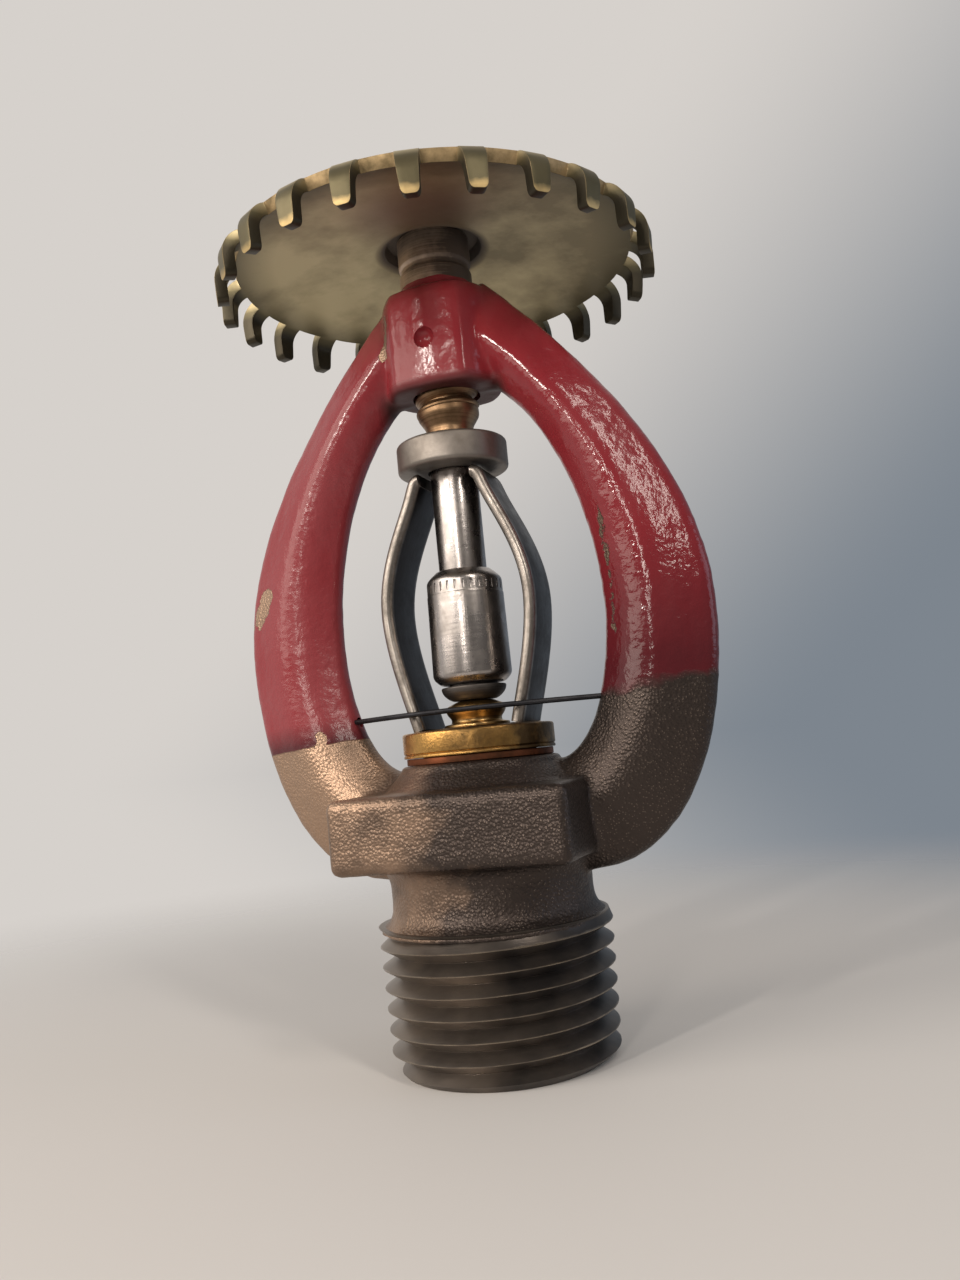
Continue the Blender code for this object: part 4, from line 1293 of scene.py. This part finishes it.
    def unequal(self, bm: Mesh, root_z: float, tip_z: float) -> None:
        """Bend each tine a little differently, as the press leaves them.

        Args:
            bm: The sheet.
            root_z: Height at which the tines begin.
            tip_z: Height of their tips.
        """
        draw = random.Random(self.seed)
        lean = [(draw.uniform(-self.lean_in, 0.0), draw.uniform(-self.lean_aside, self.lean_aside),
                 draw.uniform(0.0, self.shorter)) for _ in range(self.tines)]
        pitch = FULL_TURN / self.tines
        for vert in bm.verts:
            share = (root_z - vert.co.z) / (root_z - tip_z)
            if share <= 0 or math.hypot(vert.co.x, vert.co.y) < self.tine_zone:
                continue
            tine = round((math.atan2(vert.co.y, vert.co.x) - self.turn) / pitch)
            inward, aside, shorter = lean[tine % self.tines]
            middle = tine * pitch + self.turn
            out = Vector((math.cos(middle), math.sin(middle), 0))
            across = Vector((-out.y, out.x, 0))
            vert.co += out * inward * share ** 2 + across * aside * share + Vector((0, 0, shorter * share))

    def build(self) -> None:
        """Press the deflector and set it in place; only the notch floors keep a bright sheared edge."""
        path, drop = self.middle()
        bm = self.sector(path, drop)
        others = self.tines - 1
        bmesh.ops.spin(bm, geom=bm.verts[:] + bm.edges[:] + bm.faces[:], cent=ORIGIN, axis=AXIS,
                       angle=FULL_TURN / self.tines * others, steps=others, use_duplicate=True)
        bmesh.ops.remove_doubles(bm, verts=bm.verts, dist=MERGE)
        bmesh.ops.rotate(bm, verts=bm.verts, cent=ORIGIN, matrix=Matrix.Rotation(self.turn, 3, "Z"))
        bmesh.ops.recalc_face_normals(bm, faces=bm.faces)
        self.unequal(bm, drop[0][1], cad_box("deflector")[0].z)
        made = mesh_object("deflector_plate", bm)
        add_modifier(made, "SOLIDIFY", thickness=self.sheet, offset=0.0, use_even_offset=True,
                     material_offset_rim=1, use_quality_normals=True)
        add_modifier(made, "BEVEL", width=self.edge, segments=3, limit_method="ANGLE",
                     angle_limit=math.radians(50), profile=0.5, material=-1)
        for _ in ("sheet", "cut edges"):
            made.data.materials.append(None)
        apply_modifiers(made)
        kinds = []
        for face in made.data.polygons:
            outward = face.normal.dot(Vector((*face.center.xy, 0.0)).normalized())
            kinds.append(face.material_index if outward > self.sheared else 0)
        fit_piece(made, [PassivatedBrass().build(), Stock.SHEAR.build()], "deflector", crease=40)
        made.data.polygons.foreach_set("material_index", kinds)


# ---------------------------------------------------------------- screw, strut, cap

@dataclass
class LoadScrew:
    """Brass screw in the hub that loads the strut."""

    pitch: float = 1.27
    crest_radius: float = 3.05
    depth: float = 0.6
    length: float = 6.9
    tip_radius: float = 2.25
    nose: float = 2.2
    taper: float = 1.4
    slot_width: float = 0.9
    slot_depth: float = 1.2
    slot_reach: float = 5.0  # past the thread, to either side
    steps: int = 64
    # share of the pitch and of the depth: flat root, flank, slightly rounded crest
    profile: tuple[Point2, ...] = ((0.0, 0.0), (0.12, 0.0), (0.44, 0.92), (0.5, 1.0), (0.62, 1.0),
                                   (0.68, 0.92))

    def build(self) -> None:
        """Cut the screw and set it in place."""
        tip_z = cad_box("load_screw")[0].z
        nose = tip_z + self.nose
        bottom = nose + self.taper
        top = bottom + self.length
        core, shoulder, tip = self.crest_radius - self.depth, self.crest_radius - 0.1, self.tip_radius
        made = mesh_object("strut_load_screw",
                           helix(self.profile, core, self.depth, self.pitch, (bottom, top), self.steps))
        boolean(made, turned(((0, bottom + 1, 0), (core, bottom + 1, 0), (shoulder, bottom + 0.4, 0.15),
                              (shoulder, bottom - 0.3, 0.2), (tip, nose, 0.3), (tip, tip_z, 0.3),
                              (0, tip_z, 0)), self.steps), "UNION")
        side, depth, reach = self.slot_width / 2, self.slot_depth, self.slot_reach
        boolean(made, block((-reach, -side, top - depth), (reach, side, top + depth)), "DIFFERENCE")
        fit_piece(made, [Stock.SCREW.build()], "load_screw", crease=30)


def soften(made: Piece, top: float, held: float) -> None:
    """Give a piece its own mesh; how much of it would stay between its top and a height held by the cap, as
    the plunger sinks, is worked out but not used.
    """
    keep = 1 - joint_range("plunger_sink") / (top - held)
    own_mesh(made)


@dataclass
class Strut:
    """The centre strut: cup, plunger, solder cylinder with its pellet, plug and button."""

    socket_radius: float = 2.45
    socket_depth: float = 1.3
    recess_radius: float = 2.55
    recess_depth: float = 0.9
    bore_radius: float = 2.45
    shoulder: float = 0.7
    foot: float = 0.7
    plug_slack: float = 0.2  # how much narrower the plug's spigot is than the bore
    plug_flange: float = 1.3
    plug_nose: Point2 = (2.35, 2.0)  # radius above and at the end of the cone
    crown_inset: float = 0.2
    crown_flat: float = 1.55
    button_waist: Point2 = (2.3, 2.4)  # radius above and below
    ticks: int = 30
    tick_width: float = 0.22
    tick_rows: Point2 = (1.35, 0.5)  # lower and upper end of a tick, down from the wall's top
    steps: int = 64  # facets of the plug and the button

    def cup(self) -> None:
        """Turn the aluminium cup."""
        low, high = cad_box("strut_cup")
        floor, roof = high.z - self.recess_depth, low.z + self.socket_depth
        fit_turned("cup", "strut_cup", Stock.CUP.build(), (
            (0, floor, 0), (self.recess_radius, floor, 0.1), (self.recess_radius + 0.2, high.z, 0.12),
            (high.x, high.z, 0.35), (high.x, low.z, 0.4), (self.socket_radius, low.z, 0.15),
            (self.socket_radius, roof, 0.1), (0, roof, 0)))

    def plunger(self, steel: Material) -> None:
        """Turn the plunger."""
        low, high = cad_box("plunger")
        fit_turned("plunger_pin", "plunger", steel,
                   ((0, high.z, 0), (high.x, high.z, 0.25), (high.x, low.z, 0.25), (0, low.z, 0)))

    def cylinder(self, steel: Material) -> None:
        """Turn the solder cylinder and roll a row of plain tick marks round its top.

        Args:
            steel: Its material.
        """
        low, high = cad_box("solder_cylinder")
        low.z -= CLEARANCE - TOUCH
        wall, radius, bore = high.z - self.shoulder, high.x, self.bore_radius
        made = mesh_object("cylinder_tube", turned((
            (bore + 0.15, high.z, 0.08), (radius - 0.45, wall + 0.12, 0.15),
            (radius - 0.15, wall - 0.25, 0.2), (radius - 0.13, wall - 1.55, 0.05),
            (radius - 0.09, wall - 1.62, 0.05), (radius, low.z + self.foot, 0.3),
            (radius - self.foot, low.z, 0.3), (bore, low.z, 0.1), (bore, high.z - 0.15, 0.08))))
        marks = []
        half, (bottom, top) = self.tick_width / 2, self.tick_rows
        for k in range(self.ticks):
            mark = block((radius - 0.27, -half, wall - bottom), (radius + 0.2, half, wall - top), 0.04)
            bmesh.ops.rotate(mark, verts=mark.verts, cent=ORIGIN,
                             matrix=Matrix.Rotation(FULL_TURN * k / self.ticks, 3, "Z"))
            marks.append(mark)
        boolean(made, joined(marks), "DIFFERENCE")
        fit_piece(made, [steel], "solder_cylinder")

    def pellet(self) -> None:
        """Cast the pellet that fills the cylinder below the plunger, and that softens."""
        low, high = cad_box("solder_pellet")
        made = fit_turned("pellet", "solder_pellet", Stock.SOLDER.build(), (
            (0, high.z, 0), (high.x, high.z, 0.15), (high.x, low.z, 0.15), (0, low.z, 0)), STEPS // 2)
        soften(made, high.z, low.z)

    def plug(self) -> None:
        """Turn the cone that closes the cylinder's foot."""
        low, high = cad_box("cylinder_plug")
        low.z -= CLEARANCE - TOUCH
        spigot, flange = self.bore_radius - self.plug_slack, low.z + self.plug_flange
        above, nose = self.plug_nose
        fit_turned("foot_cone", "cylinder_plug", Stock.PLUG.build(), (
            (0, high.z, 0), (spigot, high.z, 0.2), (spigot, flange, 0), (high.x, flange, 0.15),
            (high.x - 0.05, flange - 0.55, 0.35), (above, low.z + 0.12, 0.3), (nose, low.z, 0.05),
            (0, low.z, 0)), self.steps)

    def button(self) -> None:
        """Turn the domed brass button that the strut stands on."""
        low, high = cad_box("pivot_button")
        low.z -= CLEARANCE - TOUCH
        crown, (above, below) = high.x - self.crown_inset, self.button_waist
        fit_turned("pivot", "pivot_button", Stock.BUTTON.build(), (
            (0, high.z, 0), (self.crown_flat, high.z, 0.3), (crown, high.z - 0.55, 0.35),
            (crown - 0.1, high.z - 1.15, 0.25), (above, low.z + 0.75, 0.2), (below, low.z + 0.42, 0.12),
            (high.x, low.z + 0.32, 0.12), (high.x, low.z, 0.08), (0, low.z, 0)), self.steps)

    def build(self) -> None:
        """Build every piece of the strut."""
        steel = PolishedSteel().build()
        self.cup()
        self.plunger(steel)
        self.cylinder(steel)
        self.pellet()
        self.plug()
        self.button()


@dataclass
class Closure:
    """The brass cap on its copper gasket."""

    plug_radius: float = 5.2
    plug_depth: float = 1.8
    plug_taper: Point2 = (0.6, 0.7)  # how far in and up the plug's end is cut away
    face: Point2 = (5.9, 6.1)  # radius of the raised face, and of the foot of its edge
    face_rise: float = 0.12
    gasket_width: float = 1.5
    gasket_inset: float = 0.15
    gasket_edge: float = 0.08
    steps: int = 128

    def build(self) -> None:
        """Build the cap and the gasket."""
        low, high = cad_box("cap")
        under, radius, plug = low.z + self.plug_depth, high.x, self.plug_radius
        rim = high.z - self.face_rise
        (face, foot), (inward, upward) = self.face, self.plug_taper
        fit_turned("closing_cap", "cap", Stock.CAP.build(), (
            (0, high.z, 0), (face, high.z, 0), (foot, rim, 0.06), (radius, rim, 0.25),
            (radius, under + 0.42, 0.06), (radius - 0.14, under + 0.34, 0.05),
            (radius - 0.02, under + 0.26, 0.05), (radius, under, 0.1), (plug, under, 0.1),
            (plug, low.z + upward, 0.1), (plug - inward, low.z, 0.2), (0, low.z, 0)), self.steps)
        low, high = cad_box("gasket")
        inner = high.x - self.gasket_width
        settle = Vector((0, 0, CLEARANCE - TOUCH))
        low, high = low - settle, high + settle - Vector((self.gasket_inset, 0, 0))
        corners = ((high.x, high.z), (high.x, low.z), (inner, low.z), (inner, high.z))
        fit_turned("gasket_ring", "gasket", Stock.GASKET.build(),
                   [(*corner, self.gasket_edge) for corner in corners], self.steps)


@dataclass
class Levers:
    """Two bowed strips of spring steel between the cap and the cup."""

    thickness: float = 1.15
    width: float = 6.2
    foot: Point2 = (4.75, 29.98)
    bow: Point2 = (7.0, 41.3)
    shoulder_x: float = 3.5
    tab_drop: float = 1.1
    tab_end: float = 2.6
    held: float = 30.0
    stations: int = 18
    tab_stations: int = 6
    edge_points: int = 9

    def path(self) -> list[Vector]:
        """Draw the centre line of the right lever, from its foot to its tab under the cup.

        Returns:
            Its points, in the XZ plane.
        """
        tab_z = cad_box("right_lever")[1].z - self.thickness / 2
        (foot_x, foot_z), (bow_x, bow_z) = self.foot, self.bow
        x, z = shoulder = (self.shoulder_x, tab_z - self.tab_drop)
        rise, fall = z - bow_z, bow_z - foot_z
        lower = (self.foot, (foot_x + 0.75, foot_z + fall * 0.26), (bow_x, bow_z - fall * 0.34), self.bow)
        upper = (self.bow, (bow_x, bow_z + rise * 0.42), (x + 0.9, z - rise * 0.24), shoulder)
        tab = (shoulder, (x - 0.3, tab_z - 0.25), (x - 0.5, tab_z), (self.tab_end, tab_z))
        line = [cubic(curve, k / self.stations) for curve in (lower, upper) for k in range(self.stations)]
        return line + [cubic(tab, k / self.tab_stations) for k in range(self.tab_stations + 1)]

    def rings(self, side: int) -> list[list[Vector]]:
        """Draw the sections of a lever, each a strip with round edges.

        Args:
            side: -1 for the left lever, 1 for the right.

        Returns:
            The sections, from foot to tab.
        """
        line = [Vector((side * x, 0, z)) for x, z in self.path()]
        radius, half = self.thickness / 2, self.width / 2
        turns = [math.pi * (step / (self.edge_points - 1) - 0.5) for step in range(self.edge_points)]
        rings = []
        for k, place in enumerate(line):
            way = line[min(k + 1, len(line) - 1)] - line[max(k - 1, 0)]
            out = way.cross(Vector((0, 1, 0))).normalized()
            rings.append([place + Vector((0, end * (half - radius * (1 - math.cos(turn))), 0))
                          + out * end * radius * math.sin(turn) for end in SIDES for turn in turns])
        return rings

    def build(self) -> None:
        """Bend both levers and set them in place."""
        steel = PolishedSteel("rolled_spring_steel", "#9a938c", "#69635d", 0.33, scratch=0.3,
                              dark_face_half_width=self.width / 2 - self.thickness / 2).build()
        for node, side in zip(("left_lever", "right_lever"), SIDES):
            made = mesh_object(node + "_strip", loft(self.rings(side)))
            fit_piece(made, [steel], node, crease=50)
            soften(made, cad_box(node)[1].z, self.held)


@dataclass
class EjectorWire:
    """Thin spring wire that bows across the front of the levers."""

    radius: float = 0.25
    bow: float = 4.4
    segments: int = 48

    def build(self) -> None:
        """Draw the wire and set it in place."""
        low, high = cad_box("ejector_wire")
        curve = bpy.data.curves.new("wire", "CURVE")
        curve.dimensions = "3D"
        curve.bevel_depth = self.radius
        curve.bevel_resolution = 3
        curve.use_fill_caps = True
        spline = curve.splines.new("POLY")
        spline.points.add(self.segments)
        for k, point in enumerate(spline.points):
            x = high.x * (2 * k / self.segments - 1)
            point.co = (x, -self.bow * (1 - (x / high.x) ** 2), (low.z + high.z) / 2, 1)
        drawn = bpy.data.objects.new("wire", curve)
        made = new_object("spring_wire", bpy.data.meshes.new_from_object(drawn))
        bpy.data.objects.remove(drawn)
        fit_piece(made, [Stock.WIRE.build()], "ejector_wire")


# ---------------------------------------------------------------- studio

@dataclass
class Lamp:
    """Soft lamp that looks at the middle of the part."""

    name: str
    place: Point3
    width: float
    tall: float
    power: float
    colour: str
    aim: Point3 = (0.0, 0.0, 42.0)

    def build(self) -> None:
        """Hang the lamp."""
        data = bpy.data.lights.new(self.name, "AREA")
        data.shape = "RECTANGLE"
        data.size = self.width * MM
        data.size_y = self.tall * MM
        data.energy = self.power
        data.color = srgb(self.colour)[:3]
        made = new_object(self.name, data)
        made.location = Vector(self.place) * MM
        made.rotation_euler = (Vector(self.aim) - Vector(self.place)).to_track_quat("-Z", "Y").to_euler()


@dataclass
class Studio:
    """Pale floor that melts into a pale surround, five soft lamps and the camera."""

    pale: str = "#d6d1cc"
    cool: str = "#7d858e"
    dim: str = "#5d5a57"
    white: str = "#ffffff"
    ambient: float = 0.35
    yaw: float = 0.0098086475
    pitch: float = 0.10518277
    roll: float = -0.0946727462
    stand: float = math.radians(20)  # how far round from the front the camera stands
    camera_place: Point3 = (34.00893, -93.43876, 27.5263)
    lens: float = 29.947404861
    floor_radius: float = 900.0
    floor_fade: Point2 = (35.0, 190.0)  # where the floor begins to fade, and is gone
    paper: str = "#d2ceca"
    lamps: tuple[Lamp, ...] = (
        Lamp("window_lamp", (-250, -240, 190), 240, 260, 0.7, "#fff4e8"),
        Lamp("key_lamp", (-106, -285, 159), 18, 50, 0.3, "#fff6ec"),
        Lamp("front_lamp", (12, -300, 118), 30, 90, 0.19, "#fff6ec"),
        Lamp("upper_strip", (210, -196, 243), 34, 200, 0.36, "#fff6ec"),
        Lamp("cool_lamp", (300, 40, 90), 160, 160, 0.1, "#dce8ff"),
    )

    def camera(self) -> None:
        """Set up the camera."""
        cos, sin = math.cos, math.sin
        ahead = Vector((sin(self.yaw) * cos(self.pitch), cos(self.yaw) * cos(self.pitch), sin(self.pitch)))
        right = Vector((cos(self.yaw), -sin(self.yaw), 0))
        up = right.cross(ahead)
        level = Matrix((cos(self.roll) * right + sin(self.roll) * up,
                        cos(self.roll) * up - sin(self.roll) * right, -ahead)).transposed()
        data = bpy.data.cameras.new("camera")
        data.lens = self.lens
        data.clip_start = 1 * MM
        made = new_object("camera", data)
        made.matrix_world = (Matrix.Translation(Vector(self.camera_place) * MM)
                             @ Matrix.Rotation(self.stand, 4, "Z") @ level.to_4x4())
        bpy.context.scene.camera = made

    def surround(self) -> None:
        """Light the world: pale to the camera and in reflections, dimmer where the room is."""
        world = bpy.data.worlds.new("studio")
        bpy.context.scene.world = world
        r = Recipe(world, "Generated")
        r.tree.nodes.remove(r.tree.nodes["Background"])
        right = r.add("VectorMath", r.place, (0.85, 0.28, 0.0), operation="DOT_PRODUCT")
        steep = r.add("Math", r.axes()[2], operation="ABSOLUTE")
        right = r.add("Math", steep, -0.9, right, operation="MULTIPLY_ADD")
        right = r.add("MapRange", right, -0.36, 0.24, interpolation_type="SMOOTHSTEP")
        beyond = r.add("VectorMath", r.place, (0.0, 1.0, 0.0), operation="DOT_PRODUCT")
        beyond = r.add("MapRange", beyond, -0.5, 0.4, 0.2, interpolation_type="SMOOTHSTEP")
        right = r.add("Math", right, beyond, operation="MULTIPLY")
        pale = r.add("Mix", right, self.pale, self.cool, data_type="RGBA")
        room = r.add("VectorMath", r.place, (0.34, -0.94, 0.0), operation="DOT_PRODUCT")
        room = r.add("MapRange", room, -0.1, 0.6, interpolation_type="SMOOTHSTEP")
        seen = r.add("Mix", room, pale, self.dim, data_type="RGBA")
        rays = r.add("LightPath").node.outputs
        mirrored = r.add("Math", rays["Is Glossy Ray"], rays["Is Transmission Ray"], operation="MAXIMUM")
        even = r.add("Background", self.white, self.ambient)
        light = r.add("MixShader", mirrored, even, r.add("Background", seen))
        light = r.add("MixShader", rays["Is Camera Ray"], light, r.add("Background", pale))
        feed(r.tree.nodes["World Output"].inputs["Surface"], light)

    def floor(self) -> None:
        """Lay the pale floor, which fades into the surround far from the part."""
        bm = bmesh.new()
        bmesh.ops.create_circle(bm, cap_ends=True, segments=64, radius=self.floor_radius * MM)
        made = mesh_object("floor", bm)
        # matt paper: an even, pale ground without gloss
        r = Recipe(bpy.data.materials.new("matt_paper"))
        distance = r.add("VectorMath", r.place, operation="LENGTH")
        near, far = (reach * MM for reach in self.floor_fade)
        fade = r.add("MapRange", distance, near, far, interpolation_type="SMOOTHSTEP")
        paper = r.tree.nodes["Principled BSDF"].outputs[0]
        mixed = r.add("MixShader", fade, paper, r.add("BsdfTransparent"))
        feed(r.tree.nodes["Material Output"].inputs["Surface"], mixed)
        made.data.materials.append(r.dress(Base_Color=self.paper, Roughness=0.7))
        made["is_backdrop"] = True

    def build(self) -> None:
        """Set up the whole studio."""
        self.camera()
        self.surround()
        self.floor()
        for lamp in self.lamps:
            lamp.build()
        bpy.context.scene.view_settings.view_transform = "Standard"


def write_sizes() -> None:
    """Work out the CAD's box and the visual model's box; nothing is written."""
    boxes = [[list(map(float, corner)) for corner in box] for box in (CAD_BOX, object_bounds())]


def main() -> None:
    """Build the sprinkler head and its studio."""
    logging.basicConfig(level=logging.INFO, format="%(name)s: %(message)s")
    for part in (Studio, Casting, Spigot, InletThread, Deflector, LoadScrew, Strut, Closure, Levers,
                 EjectorWire):
        part().build()
    write_sizes()


if __name__ == "__main__":
    main()
